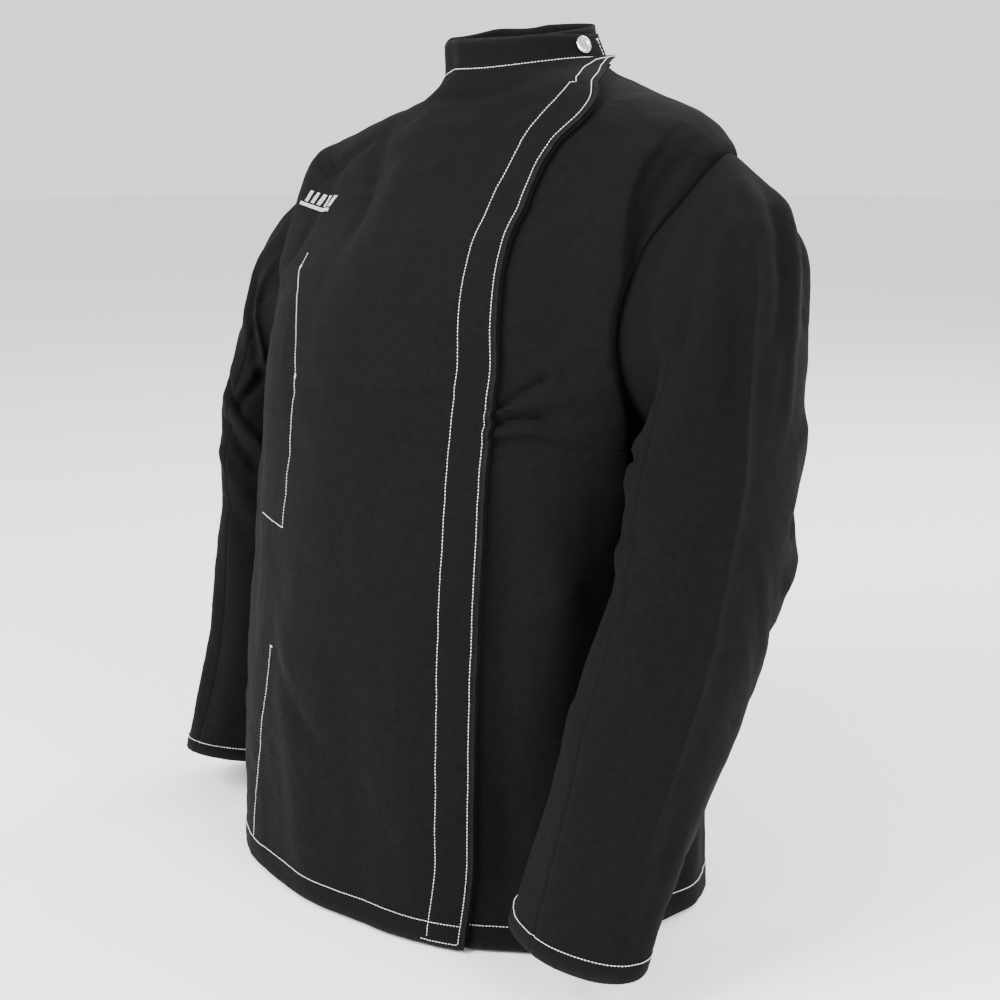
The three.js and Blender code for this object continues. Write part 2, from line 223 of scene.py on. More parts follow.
def body_normal(z, degrees):
    """Outward normal: the step round the body crossed with the step up it."""
    along = body(z, degrees + 0.5) - body(z, degrees - 0.5)
    up = body(z + 1, degrees) - body(z - 1, degrees)
    return unit(np.cross(along, up))


def neck_seam(degrees):
    """Height of the neck seam: low in front, high behind, lifted behind the right shoulder."""
    around = np.mod(degrees, 360)
    lift = NECK_LIFT * smooth(around, 205, 245) * (1 - smooth(around, 285, 318))
    return -9 - 9 * np.cos(np.radians(degrees)) + lift


def edge_angle(z):
    """Angle of the wrap-over edge at a height."""
    return from_table(EDGE, z)[0]


def tip_flare(degrees, z):
    """The wrap-over's top corner is stiff and stands off where the neck curves away from it."""
    return TIP_FLARE * smooth(degrees, 66, 118) * smooth(z, -50, -12)


def lap_out(degrees, z=HEM):
    """How far the wrap-over front stands off the under front."""
    return LAP * smooth(degrees, -26, UNDER_EDGE - 6) + tip_flare(degrees, z)


def armhole_angle(z):
    """Half angle of the armhole at a height, 0 above and below it: an ellipse."""
    h = (z - ARMHOLE_Z) / ARMHOLE_HALF_HEIGHT
    return ARMHOLE_HALF_ANGLE * np.sqrt(np.clip(1 - h * h, 0, 1))


def armhole_distance(z, degrees):
    """Rough distance in mm from the armhole's edge, from how much larger its ellipse would be."""
    wrapped = (degrees + 180) % 360 - 180
    across = (np.abs(wrapped) - SIDE) / ARMHOLE_HALF_ANGLE
    ring = np.hypot(across, (z - ARMHOLE_Z) / ARMHOLE_HALF_HEIGHT)
    return np.abs(ring - 1) * ARMHOLE_HALF_HEIGHT


# %% Sleeve surface
def sleeve(side, t, turn):
    """Rings along the arm, joined by smooth curves: t is 0 at the armhole and 1 at the cuff, and
    turn goes round from the outer side (0) by the front (90) and the inner side (180)."""
    mirror = 1 if side == "left" else -1
    stations = LEFT_SLEEVE if side == "left" else RIGHT_SLEEVE
    t, turn = np.broadcast_arrays(np.asarray(t, float), np.asarray(turn, float))
    c, s = np.cos(np.radians(turn)), np.sin(np.radians(turn))
    start = body(ARMHOLE_Z + ARMHOLE_HALF_HEIGHT * c, mirror * (SIDE - ARMHOLE_HALF_ANGLE * s))
    start[..., 0] *= mirror
    rows = [start]
    for _, x, y, z, across, depth, lean, rise, twist in stations:
        tilt, twisted = np.radians(lean), np.radians(twist)
        px, py, pz = across * c, -depth * s * np.cos(tilt), rise * c + depth * s * np.sin(tilt)
        rows.append(np.stack([x + px * np.cos(twisted) - py * np.sin(twisted),
                              y + px * np.sin(twisted) + py * np.cos(twisted), z + pz], -1))
    made = from_stations([0] + [row[0] for row in stations], np.array(rows), t)
    made[..., 0] *= mirror
    return made


def sleeve_normal(side, t, turn):
    """Outward normal: the step round the arm crossed with the step down it."""
    step = 0.004
    low, high = np.clip(t - step, 0, 1), np.clip(t + step, 0, 1)
    along = sleeve(side, t, turn + 1) - sleeve(side, t, turn - 1)
    down = sleeve(side, high, turn) - sleeve(side, low, turn)
    return unit(np.cross(along, down)) * (1 if side == "left" else -1)


# %% [markdown]
# Folds
#
# Cloth that is cut flat and worn round makes folds where it has to turn: in front of the armhole,
# below the collar, at the elbow and where the placket stops it from sliding. A simulation finds
# such folds by itself but not where they belong, so each one here is drawn as a tailor would point
# at it: a line on the cloth, a height and a width. Small uneven waves over the whole cloth, made
# from sines of many directions, keep the surface between the folds from looking like a shell.

# %% Fold lines
def along_line(points, line, normals, width, back_width, sharp):
    """Weight near a line of 3-D points, and the direction across it at each point. The weight is
    exp(-(d/w)^2), or exp(-d/w) for a pressed crease, fading out at the line's ends."""
    weight = np.zeros(points.shape[:-1])
    sideways = np.zeros(points.shape)
    reach = 3.2 * max(width, back_width) * (1.4 if sharp else 1)
    near = np.all((points > line.min(0) - reach) & (points < line.max(0) + reach), axis=-1)
    if not near.any():
        return weight, sideways
    p = points[near]
    lengths = np.linalg.norm(np.diff(line, axis=0), axis=1)
    starts = np.concatenate([[0], np.cumsum(lengths)])
    best, share = np.full(len(p), np.inf), np.zeros(len(p))
    signed, across_all = np.zeros(len(p)), np.zeros((len(p), 3))
    for k, length in enumerate(lengths):
        direction = (line[k + 1] - line[k]) / length
        across = unit(np.cross(normals[k], direction))
        along = np.clip((p - line[k]) @ direction, 0, length)
        offset = p - line[k] - along[:, None] * direction
        d = np.linalg.norm(offset, axis=1)
        closer = d < best
        best = np.where(closer, d, best)
        share = np.where(closer, (starts[k] + along) / starts[-1], share)
        signed = np.where(closer, offset @ across, signed)
        across_all[closer] = across
    ends = smooth(share, 0, 0.25) * smooth(1 - share, 0, 0.25)
    scaled = best / np.where(signed > 0, back_width, width)
    fall = np.exp(-(np.sqrt(scaled * scaled + 0.02) - 0.14)) if sharp else np.exp(-scaled * scaled)
    weight[near] = fall * ends
    sideways[near] = across_all
    return weight, sideways


def through(points, count=14):
    """A smooth line through a few given points, as equal shares of their order."""
    rows = [[k, *point] for k, point in enumerate(points)]
    return from_table(rows, np.linspace(0, len(points) - 1, count))


def waves(points, size, seed, count=9):
    """Sum of sines across space with random directions and phases, about `size` mm long, within 1."""
    rng = np.random.default_rng(seed)
    made = np.zeros(points.shape[:-1])
    for _ in range(count):
        direction = unit(rng.normal(size=3))
        length = size * rng.uniform(0.7, 1.5)
        made += np.sin(points @ (direction * 2 * np.pi / length) + rng.uniform(0, 2 * np.pi))
    return made / math.sqrt(count)


def crumple(points, size, seed):
    """Sharper waves: a wave field read along itself, so that its crests bunch and bend."""
    shift = waves(points, size * 2.2, seed + 50)
    bent = points + shift[..., None] * size * 0.35
    raw = waves(bent, size, seed)
    return np.tanh(1.4 * raw) - 0.35 * waves(bent, size * 0.6, seed + 7)


# Fold lines on the body: height in mm, width in mm, then angle and z of a few points
BODY_FOLDS = [
    # the front stands proud before the left armhole and dips behind that ridge
    [9, 22, {"back": 7, "lean": 7}, (88, -46), (74, -55), (60, -70), (52.5, -95), (52, -118), (56, -156),
     (59, -190), (61.5, -225), (66, -290), (69, -350), (72, -430)],
    [-6, 8, (84, -62), (70, -80), (63, -104), (61, -130), (62, -160), (63.5, -200), (66, -250), (73, -310)],
    # the right front swells before its armhole, where the mark is
    [13, 34, (-60, -60), (-64, -95), (-66, -130), (-64, -175), (-62, -230)],
    [-4, 10, (-34, -52), (-44, -80), (-50, -110)],
    # pinched cloth where the under front runs out from the wrap-over edge
    [-5, 3.4, (34, -290), (38, -284), (42, -273), (47, -262), (51, -256)],
    [4, 4.5, {"lean": 1.5}, (34, -294), (39, -289), (44, -283), (50, -279), (56, -278)],
    [-5.5, 3.4, (33, -300), (38, -297), (43, -291.5), (48, -293), (53, -302)],
    [3.5, 4.5, (34, -306), (39, -305), (45, -301), (51, -306), (56, -314)],
    [-3, 4, (34, -313), (40, -312), (46, -310), (53, -318)],
    [-2, 7, (50, -262), (56, -252), (62, -262)],
    # a hollow down the under front beside the edge
    [-7, 17, (42, -330), (43, -430), (44, -560), (45, -700), (45, -780)],
    [5, 24, (53, -330), (55, -430), (56, -560), (58, -700), (58, -790)],
    [-4, 20, (44, -130), (46, -200), (49, -250)],
    [3, 16, (60, -420), (52, -450), (44, -440)],
    # under the collar
    [-3.5, 8, (-22, -33), (-10, -38), (3, -43), (16, -37), (30, -28), (50, -21)],
    [3, 16, (-30, -60), (-12, -68), (6, -66), (20, -52)],
    [1.6, 9, (40, -40), (22, -62), (4, -92), (-8, -130)],
    # the wearer's right chest, pulled down from the collar
    [-3.5, 13, (-38, -34), (-30, -60), (-21, -92), (-17, -130), (-16, -170)],
    [3, 15, (-28, -34), (-18, -66), (-9, -100), (-6, -150)],
    [-2.5, 10, (-46, -60), (-42, -100), (-44, -150), (-50, -200)],
    # creases across the front where it was folded in its bag
    [-2.2, 5, (-30, -298), (-19, -293), (-8, -290), (9, -285), (24, -280), (36, -278)],
    [1.2, 8, (-20, -278), (9, -270), (34, -264)],
    [-1.5, 8, (-30, -352), (-8, -338), (14, -330), (30, -334)],
    [1.5, 12, (-26, -372), (0, -362), (26, -366)],
    # long soft falls of the right front towards the hem
    [3, 22, (-14, -420), (-16, -520), (-12, -620), (-6, -760)],
    [-3, 22, (4, -470), (6, -560), (10, -660), (12, -770)],
    [2.5, 20, (22, -450), (22, -560), (24, -660), (26, -770)],
    [-3, 12, (-25, -505), (-18, -540), (-8, -580), (8, -612)],
    [-2.5, 14, (-42, -300), (-44, -400), (-40, -500), (-36, -560)],
    [3, 16, (-52, -330), (-52, -430), (-50, -540), (-46, -700)],
    # falls of the back
    [-13, 60, (132, -560), (134, -640), (136, -740), (138, -860)],
    [6, 30, (150, -180), (154, -320), (150, -480), (146, -640), (144, -790)],
    [-6, 28, (166, -240), (168, -380), (166, -520), (164, -780)],
    [5, 30, (184, -200), (182, -340), (184, -500), (186, -780)],
    [-6, 28, (200, -260), (198, -400), (200, -540), (202, -780)],
    [6, 28, (214, -190), (216, -330), (214, -480), (218, -780)],
    [-4, 16, (126, -240), (138, -262), (152, -272), (166, -270)],
    [-4, 16, (234, -250), (222, -270), (208, -280), (194, -276)],
    [3, 14, (130, -290), (142, -305), (156, -312)],
    [-4, 20, (118, -360), (120, -480), (116, -600), (114, -780)],
    [4, 20, (106, -380), (106, -500), (104, -640), (102, -780)],
    [-4, 20, (240, -360), (242, -500), (244, -780)],
]
# Fold lines on the sleeves: height, width, then turn in degrees and share of the length
LEFT_SLEEVE_FOLDS = [
    # the pressed crease down the outer sleeve
    [5.5, 8, {"sharp": True}, (2, -0.1), (2, 0.0), (14, 0.06), (22, 0.12), (23, 0.205),
     (19.5, 0.307), (17, 0.428), (21, 0.527), (20, 0.635), (20, 0.7),
     (22.5, 0.8), (25, 0.855), (26, 0.913), (22, 1.04)],
    [-3.4, 9, (14, 0.03), (30, 0.12), (34, 0.22), (30, 0.34), (28, 0.46)],
    # the sleeve head falls from the shoulder point
    [-6, 12, (24, 0.035), (42, 0.06), (58, 0.09), (72, 0.135), (78, 0.19), (74, 0.27)],
    [4.5, 12, (34, 0.015), (56, 0.035), (76, 0.06), (94, 0.10), (100, 0.17)],
    [5, 15, (46, 0.13), (52, 0.20), (56, 0.30), (60, 0.40)],
    [-4, 9, (-4, 0.03), (0, 0.10), (-2, 0.19), (0, 0.29)],
    [3.5, 10, (-14, 0.05), (-14, 0.15), (-16, 0.28), (-14, 0.40)],
    [-5, 12, (-36, 0.05), (-34, 0.15), (-38, 0.27)],
    # inside of the elbow
    [6, 13, (140, 0.22), (118, 0.29), (108, 0.36), (112, 0.43)],
    [-5, 4.5, (128, 0.30), (110, 0.325), (94, 0.362)],
    [-3.5, 7, (128, 0.46), (104, 0.50), (78, 0.515)],
    [3, 9, (130, 0.50), (104, 0.545), (72, 0.56)],
    [-3, 8, (126, 0.56), (100, 0.60), (66, 0.60)],
    [2.5, 12, (110, 0.62), (80, 0.66), (50, 0.655)],
    # back of the elbow
    [-7, 9, (-70, 0.43), (-52, 0.455), (-34, 0.50)],
    [5, 12, (-78, 0.49), (-56, 0.52), (-34, 0.56)],
    [-5, 10, (-84, 0.56), (-58, 0.60), (-34, 0.625)],
    [4, 14, (-90, 0.40), (-60, 0.37), (-36, 0.35)],
    # small creases of the forearm
    [-1.6, 3, (-2, 0.668), (-20, 0.682), (-46, 0.69)],
    [-1.4, 3, (-10, 0.70), (-26, 0.712), (-48, 0.728)],
    [-1.4, 3.5, (8, 0.735), (-10, 0.745), (-30, 0.75)],
    [-1.3, 5, (44, 0.63), (24, 0.642), (0, 0.64)],
    [-2.5, 14, (60, 0.66), (58, 0.76), (56, 0.88), (54, 1.02)],
    [2.5, 16, (84, 0.70), (84, 0.80), (82, 0.92), (80, 1.04)],
    [-3, 12, (2, 0.78), (4, 0.86), (2, 0.95), (0, 1.04)],
    [-3.5, 12, (-40, 0.74), (-38, 0.84), (-42, 0.94), (-44, 1.04)],
]
RIGHT_SLEEVE_FOLDS = [
    [3, 7, (2, 0.0), (10, 0.1), (12, 0.25), (10, 0.42), (12, 0.6), (14, 0.8), (14, 1.04)],
    [5, 5, {"lean": 3}, (70, 0.02), (90, 0.10), (104, 0.15), (116, 0.19), (130, 0.22), (140, 0.24)],
    [-5, 5, (66, 0.06), (86, 0.14), (100, 0.18), (114, 0.225), (128, 0.26)],
    [4, 5, (122, 0.10), (110, 0.155), (104, 0.23), (100, 0.30), (90, 0.35)],
    [-4, 5, (128, 0.14), (116, 0.20), (110, 0.27), (104, 0.33), (94, 0.38)],
    [-6, 5, (60, 0.33), (72, 0.345), (84, 0.355), (98, 0.36), (112, 0.39)],
    [6, 6, {"lean": 3}, (64, 0.36), (84, 0.365), (100, 0.385), (116, 0.42), (131, 0.465), (142, 0.50)],
    [-6, 6, (66, 0.41), (88, 0.425), (104, 0.45), (118, 0.48), (132, 0.52)],
    [3, 9, (60, 0.47), (90, 0.50), (120, 0.57)],
    [-3, 9, (70, 0.56), (96, 0.58), (124, 0.64)],
    [4, 16, (62, 0.55), (66, 0.66), (70, 0.80), (72, 1.0)],
    [-4, 14, (84, 0.62), (88, 0.72), (90, 0.84), (92, 1.0)],
    [-5, 12, (30, 0.05), (46, 0.10), (50, 0.18), (44, 0.28)],
    [-4, 10, (-30, 0.06), (-34, 0.16), (-32, 0.28)],
    [-6, 10, (-80, 0.46), (-56, 0.49), (-30, 0.53)],
    [5, 12, (-84, 0.52), (-58, 0.56), (-30, 0.60)],
    [-4, 11, (-86, 0.60), (-60, 0.64), (-34, 0.66)],
    [-4, 14, (-50, 0.70), (-48, 0.84), (-52, 1.0)],
]
SEAM_DIP = 2.2
SEAM_REACH = 3


def fold_lines(folds, surface, normal):
    """Each fold with its line and normals laid on the surface. A fold may lean to one side, fall
    more steeply on its far side, or be sharp like a pressed crease."""
    made = []
    for height, width, *points in folds:
        extra = points.pop(0) if isinstance(points[0], dict) else {}
        line = through(points)
        made.append((height, width, extra.get("back", width), extra.get("lean", 0),
                     extra.get("sharp", False), surface(line), normal(line)))
    return made


body_folds = fold_lines(BODY_FOLDS, lambda line: body(line[1], line[0]),
                        lambda line: body_normal(line[1], line[0]))
sleeve_folds = {
    side: fold_lines(folds, lambda line, side=side: sleeve(side, line[1], line[0]),
                     lambda line, side=side: sleeve_normal(side, line[1], line[0]))
    for side, folds in (("left", LEFT_SLEEVE_FOLDS), ("right", RIGHT_SLEEVE_FOLDS))
}
print("folds:", len(body_folds), "on the body,", {k: len(v) for k, v in sleeve_folds.items()})


# %% Cloth surfaces
def folded(points, lines):
    """Sum of the folds' heights at each point, and of their sideways lean."""
    lift, shift = np.zeros(points.shape[:-1]), np.zeros(points.shape)
    for height, width, back, lean, sharp, line, normals in lines:
        weight, sideways = along_line(points, line, normals, width, back, sharp)
        lift += height * weight
        if lean:
            shift += lean * weight[..., None] * sideways
    return lift, shift


HEM_DEPTH = 20
HEM_STEP = 0.8


# Height and length in mm and seed: long drape, then two sizes of crumple
BODY_WAVES = ((1.3, 150, 3), (0.7, 62, 11), (0.2, 22, 5))
SLEEVE_WAVES = ((0.9, 150, 21), (0.6, 60, 31), (0.2, 20, 9))
SLEEVE_SEAM_WIDTH, SLEEVE_SEAM_DEPTH, SLEEVE_GIRTH_PER_DEGREE = 2.2, 1.3, 1.3
CUFF_DEPTH = 12.5


def uneven(points, sizes):
    """The long drape and the two crumples over a whole surface."""
    (drape, drape_size, drape_seed), *crumples = sizes
    made = drape * waves(points, drape_size, drape_seed)
    for height, size, seed in crumples:
        made = made + height * crumple(points, size, seed)
    return made


def body_lift(z, degrees):
    """How far the cloth stands off the plain body: folds, waves, the turned hem and sunk seams."""
    points = body(z, degrees)
    clear = smooth(armhole_distance(z, degrees), 0, 20)
    calm = smooth(neck_seam(degrees) - z, 1, 22)
    lift, shift = folded(points, body_folds)
    lift = (lift + uneven(points, BODY_WAVES)) * clear * calm
    lift = lift + HEM_STEP * smooth(HEM + HEM_DEPTH - z, -1, 1.5)
    lift = lift - SEAM_DIP * np.exp(-((armhole_distance(z, degrees) / SEAM_REACH) ** 2))
    return lift, shift * (clear * calm)[..., None]


def cloth(z, degrees, out=0.0):
    """Point of the worn body cloth."""
    z, degrees = np.broadcast_arrays(np.asarray(z, float), np.asarray(degrees, float))
    lift, shift = body_lift(z, degrees)
    return body(z, degrees) + body_normal(z, degrees) * (lift + out)[..., None] + shift


def sleeve_cloth(side, t, turn, out=0.0):
    """Point of the worn sleeve cloth."""
    t, turn = np.broadcast_arrays(np.asarray(t, float), np.asarray(turn, float))
    points = sleeve(side, t, turn)
    from_head = t * SLEEVE_LENGTH
    clear = smooth(from_head, 0, 24)
    lift, shift = folded(points, sleeve_folds[side])
    lift = (lift + uneven(points, SLEEVE_WAVES)) * clear
    cuff = SLEEVE_LENGTH - CUFF_DEPTH
    lift += HEM_STEP * smooth(from_head, cuff - 1.5, cuff + 1.5)
    lift -= SEAM_DIP * np.exp(-((from_head / SEAM_REACH) ** 2))
    for seam in (90, 270):
        distance = (turn % 360 - seam) * SLEEVE_GIRTH_PER_DEGREE
        groove = np.exp(-((distance / SLEEVE_SEAM_WIDTH) ** 2)) * smooth(from_head, 0, 30)
        lift -= SLEEVE_SEAM_DEPTH * groove
    sine, cosine = np.sin(np.radians(turn)), np.cos(np.radians(turn))
    ring_angle = (1 if side == "left" else -1) * (SIDE - ARMHOLE_HALF_ANGLE * sine)
    ring_normal = body_normal(ARMHOLE_Z + ARMHOLE_HALF_HEIGHT * cosine, ring_angle)
    settle = smooth(from_head, 0, 30)[..., None]
    normal = unit(mix(ring_normal, sleeve_normal(side, t, turn), settle))
    return points + normal * (lift + out)[..., None] + shift * clear[..., None]


# %% [markdown]
# From a grid to a piece of cloth
#
# Cloth has a face, a back and cut or turned edges. The grid of points is the face; the back is the
# same grid moved inwards by the cloth's thickness; and the rim between them is rounded where the
# cloth is turned under, and flat where it meets a seam.

# %% Grid to mesh
def grid_normals(points, wrap):
    """Normal at each grid point: the difference along a row crossed with that along a column."""
    if wrap:
        ring = np.concatenate([points[:, -1:], points, points[:, :1]], axis=1)
        du = ring[:, 2:] - ring[:, :-2]
    else:
        du = np.gradient(points, axis=1)
    return unit(np.cross(du, np.gradient(points, axis=0)))


def running_length(points, axis):
    """Length run along an axis of the grid up to each point."""
    step = np.linalg.norm(np.diff(points, axis=axis), axis=-1)
    return np.concatenate([np.zeros_like(np.take(step, [0], axis)), np.cumsum(step, axis)], axis)


def finish_mesh(name, vertices, faces, uv, wear=None):
    """A mesh from arrays: vertices in mm, faces as rows of four corners, a UV for each corner."""
    mesh = bpy.data.meshes.new(name)
    mesh.vertices.add(len(vertices))
    mesh.vertices.foreach_set("co", (vertices * MM).astype(np.float32).ravel())
    mesh.loops.add(faces.size)
    mesh.loops.foreach_set("vertex_index", faces.astype(np.int32).ravel())
    mesh.polygons.add(len(faces))
    mesh.polygons.foreach_set("loop_start", np.arange(0, faces.size, faces.shape[1], dtype=np.int32))
    mesh.update(calc_edges=True)
    mesh.uv_layers.new(name="cloth_uv").data.foreach_set("uv", (uv * MM).astype(np.float32).ravel())
    if wear is not None:
        layer = mesh.attributes.new("wear", "FLOAT", "POINT")
        layer.data.foreach_set("value", wear.astype(np.float32))
    mesh.validate()
    mesh.shade_smooth()
    mesh.set_sharp_from_angle(angle=math.radians(66))
    piece = bpy.data.objects.new(name, mesh)
    bpy.context.scene.collection.objects.link(piece)
    return piece


def grid_faces(rows, columns, wrap):
    """The grid's point numbers, and its squares as rows of four of them."""
    index = np.arange(rows * columns).reshape(rows, columns)
    right = np.roll(index, -1, axis=1) if wrap else index[:, 1:]
    left = index if wrap else index[:, :-1]
    return index, np.stack([left[:-1], right[:-1], right[1:], left[1:]], -1).reshape(-1, 4)


def grid_uv(points, wrap):
    """UV in mm: the length run across from the middle column, and the length run along."""
    across, along = running_length(points, 1), running_length(points, 0)
    if wrap:
        closing = np.linalg.norm(points[:, :1] - points[:, -1:], axis=-1)
        across = np.concatenate([across, across[:, -1:] + closing], axis=1)
        along = np.concatenate([along, along[:, :1]], axis=1)
    across = across - across[:, across.shape[1] // 2][:, None]
    return np.stack([across, along], -1)


def rim_direction(points, wrap, turned):
    """How far and which way each border point's rim swells, away from the row inside it."""
    bottom, right, top, left = turned
    outwards = np.zeros(points.shape)
    outwards[0] += unit(points[0] - points[1]) * bottom
    outwards[-1] += unit(points[-1] - points[-2]) * top
    if not wrap:
        outwards[:, -1] += unit(points[:, -1] - points[:, -2]) * right
        outwards[:, 0] += unit(points[:, 0] - points[:, 1]) * left
    return outwards.reshape(-1, 3)


def border_loops(index, wrap):
    """Point numbers round the border, in the order that keeps the rim facing out."""
    if wrap:
        return [index[0], index[-1][::-1]]
    return [np.concatenate([index[0, :-1], index[:-1, -1], index[-1, :0:-1], index[:0:-1, 0]])]


# Swell and depth of the three rings between the face and the back
RIM_ROUND = ((0.75, 0.18), (1.0, 0.5), (0.75, 0.82))


def cloth_piece(name, points, thickness=CLOTH, wrap=False, turned=(0, 0, 0, 0), wear=None):
    """Face, back and rim from a grid of face points. turned says, for the bottom, right, top and
    left side, how far in mm the rim swells beyond it."""
    rows, columns = points.shape[:2]
    count = rows * columns
    index, face = grid_faces(rows, columns, wrap)
    uv = grid_uv(points, wrap)
    face_uv = np.stack([uv[:-1, :-1], uv[:-1, 1:], uv[1:, 1:], uv[1:, :-1]], 2).reshape(-1, 4, 2)
    point_uv = uv[:, :columns].reshape(-1, 2)
    outwards = rim_direction(points, wrap, turned)
    front = points.reshape(-1, 3)
    back = (points - grid_normals(points, wrap) * thickness).reshape(-1, 3)
    worn = np.zeros(count) if wear is None else wear.reshape(-1)
    vertices, wears = [front, back], [worn, worn]
    faces, corners = [face, face[:, ::-1] + count], [face_uv, face_uv[:, ::-1]]
    total = 2 * count
    for loop in border_loops(index, wrap):
        rings = [loop]
        for swell, depth in RIM_ROUND:
            vertices.append(mix(front[loop], back[loop], depth) + outwards[loop] * swell)
            wears.append(worn[loop])
            rings.append(np.arange(total, total + len(loop)))
            total += len(loop)
        rings.append(loop + count)
        here, following = point_uv[loop], np.roll(point_uv[loop], -1, axis=0)
        for a, b in zip(rings[:-1], rings[1:]):
            faces.append(np.stack([np.roll(a, -1), a, b, np.roll(b, -1)], -1))
            corners.append(np.stack([following, here, here, following], 1))
    return finish_mesh(name, np.concatenate(vertices), np.concatenate(faces),
                       np.concatenate(corners).reshape(-1, 2), np.concatenate(wears))


def cut_size(points):
    """Width, length and area in metres of the cloth that a grid of points was cut from."""
    across, along = running_length(points, 1), running_length(points, 0)
    du, dv = np.diff(points, axis=1)[:-1], np.diff(points, axis=0)[:, :-1]
    area = np.linalg.norm(np.cross(du, dv), axis=-1).sum() * MM * MM
    return float(across[:, -1].max() * MM), float(along[-1].max() * MM), float(area)


# %% [markdown]
# Finishes
#
# Every colour is written as it looks on a screen, and one function turns it into the linear
# numbers that light is worked out with. One other function adds a node with its settings and links.

# %% Node helpers
def linear(hex_colour):
    """sRGB hex to linear RGBA: c/12.92 below 0.04045, else ((c + 0.055)/1.055)^2.4."""
    values = [int(hex_colour[k:k + 2], 16) / 255 for k in (1, 3, 5)]
    return tuple(c / 12.92 if c <= 0.04045 else ((c + 0.055) / 1.055) ** 2.4 for c in values) + (1,)


def node(material, kind, links=None, **settings):
    """Adds a node: settings are its properties or, with an underscore for a space, its inputs."""
    made = material.node_tree.nodes.new(kind)
    for name, value in settings.items():
        if hasattr(made, name):
            setattr(made, name, value)
        else:
            made.inputs[name.replace("_", " ")].default_value = value
    for name, source in (links or {}).items():
        material.node_tree.links.new(source, made.inputs[name])
    return made


def new_material(name, **settings):
    """A material with one Principled shader whose constant sockets are set here."""
    material = bpy.data.materials.new(name)
    material.use_nodes = True
    shader = material.node_tree.nodes["Principled BSDF"]
    for socket, value in settings.items():
        shader.inputs[socket.replace("_", " ")].default_value = value
    return material, shader


# %% [markdown]
# Black flame-resistant cotton
#
# The cloth is a 300 g/m2 cotton sateen, piece-dyed black. Its yarns are about 0.4 mm apart, which is
# too fine to show from a few steps away, so the twill line is drawn 1.5 mm apart and faintly. The dye
# takes unevenly, so the colour drifts by a few percent over hand-sized patches, and the nap gives a
# faint sheen at grazing angles. Turned edges rub paler.

# %% Cotton
COTTON = "#060606"
COTTON_PALE = "#0e0e0e"
COTTON_RUBBED = "#1c1c1c"
FACING = "#080808"
FACING_PALE = "#0f0f0f"
MIX_FIRST, MIX_SECOND, MIX_RESULT = 6, 7, 2   # the colour sockets of a Mix node
TWILL_SPACING = 1.5 * MM
YARN_SPACING = 0.8 * MM
PATCH = 90 * MM
SLUB = 7 * MM


def cotton_material(name, dark, pale, twill_strength, sheen):
    """Twill bump on the cloth's own UV, patchy dye and slubs in its colour."""
    material, shader = new_material(name, Roughness=0.88, Sheen_Weight=sheen, Sheen_Roughness=0.5,
                                    Specular_IOR_Level=0.045)
    link = material.node_tree.links.new
    uv = node(material, "ShaderNodeUVMap", uv_map="cloth_uv")
    place = node(material, "ShaderNodeTexCoord")
    patch = node(material, "ShaderNodeTexNoise", {"Vector": place.outputs["Object"]},
                 Scale=1 / PATCH, Detail=4.0, Roughness=0.6)
    slub = node(material, "ShaderNodeTexNoise", {"Vector": place.outputs["Object"]},
                Scale=1 / SLUB, Detail=5.0, Roughness=0.75)
    dye = node(material, "ShaderNodeMix", {"Factor": patch.outputs["Fac"], "A": slub.outputs["Fac"]},
               data_type="FLOAT", B=0.5)
    ramp = node(material, "ShaderNodeValToRGB", {"Fac": dye.outputs["Result"]})
    ramp.color_ramp.elements[0].position = 0.3
    ramp.color_ramp.elements[0].color = linear(dark)
    ramp.color_ramp.elements[1].position = 0.72
    ramp.color_ramp.elements[1].color = linear(pale)
    wear = node(material, "ShaderNodeAttribute", attribute_name="wear")
    rubbed = node(material, "ShaderNodeMath", {0: wear.outputs["Fac"], 1: slub.outputs["Fac"]},
                  operation="MULTIPLY")
    colour = node(material, "ShaderNodeMix", {"Factor": rubbed.outputs["Value"]}, data_type="RGBA")
    link(ramp.outputs["Color"], colour.inputs[MIX_FIRST])
    colour.inputs[MIX_SECOND].default_value = linear(COTTON_RUBBED)
    link(colour.outputs[MIX_RESULT], shader.inputs["Base Color"])
    turned = node(material, "ShaderNodeMapping", {"Vector": uv.outputs["UV"]},
                  Rotation=(0, 0, math.radians(63)), Scale=(1 / TWILL_SPACING,) * 3)
    twill = node(material, "ShaderNodeTexWave", {"Vector": turned.outputs["Vector"]},
                 wave_profile="SIN", Scale=0.32, Distortion=1.2, Detail=1.0)
    fine = node(material, "ShaderNodeTexNoise", {"Vector": uv.outputs["UV"]},
                Scale=1 / YARN_SPACING, Detail=2.0, Roughness=0.7)
    grain = node(material, "ShaderNodeMath", {0: fine.outputs["Fac"], 1: twill.outputs["Fac"]},
                 operation="ADD")
    bump = node(material, "ShaderNodeBump", {"Height": grain.outputs["Value"]},
                Strength=twill_strength, Distance=0.25 * MM)
    soft = node(material, "ShaderNodeBump",
                {"Height": slub.outputs["Fac"], "Normal": bump.outputs["Normal"]},
                Strength=0.35, Distance=0.7 * MM)
    link(soft.outputs["Normal"], shader.inputs["Normal"])
    return material


black_cotton = cotton_material("black_cotton_sateen", COTTON, COTTON_PALE, 0.7, 0.008)
lining_cotton = cotton_material("black_cotton_facing", FACING, FACING_PALE, 0.7, 0.01)

# %% [markdown]
# Thread and nickel
#
# The topstitching is a thick spun white thread, about 0.9 mm with its twist. The snap cap is
# pressed brass with bright nickel plate: a mirror softened by fine scratches from tumbling.

# %% Thread and nickel
THREAD_TWIST = 0.7 * MM
SCRATCH = 0.5 * MM

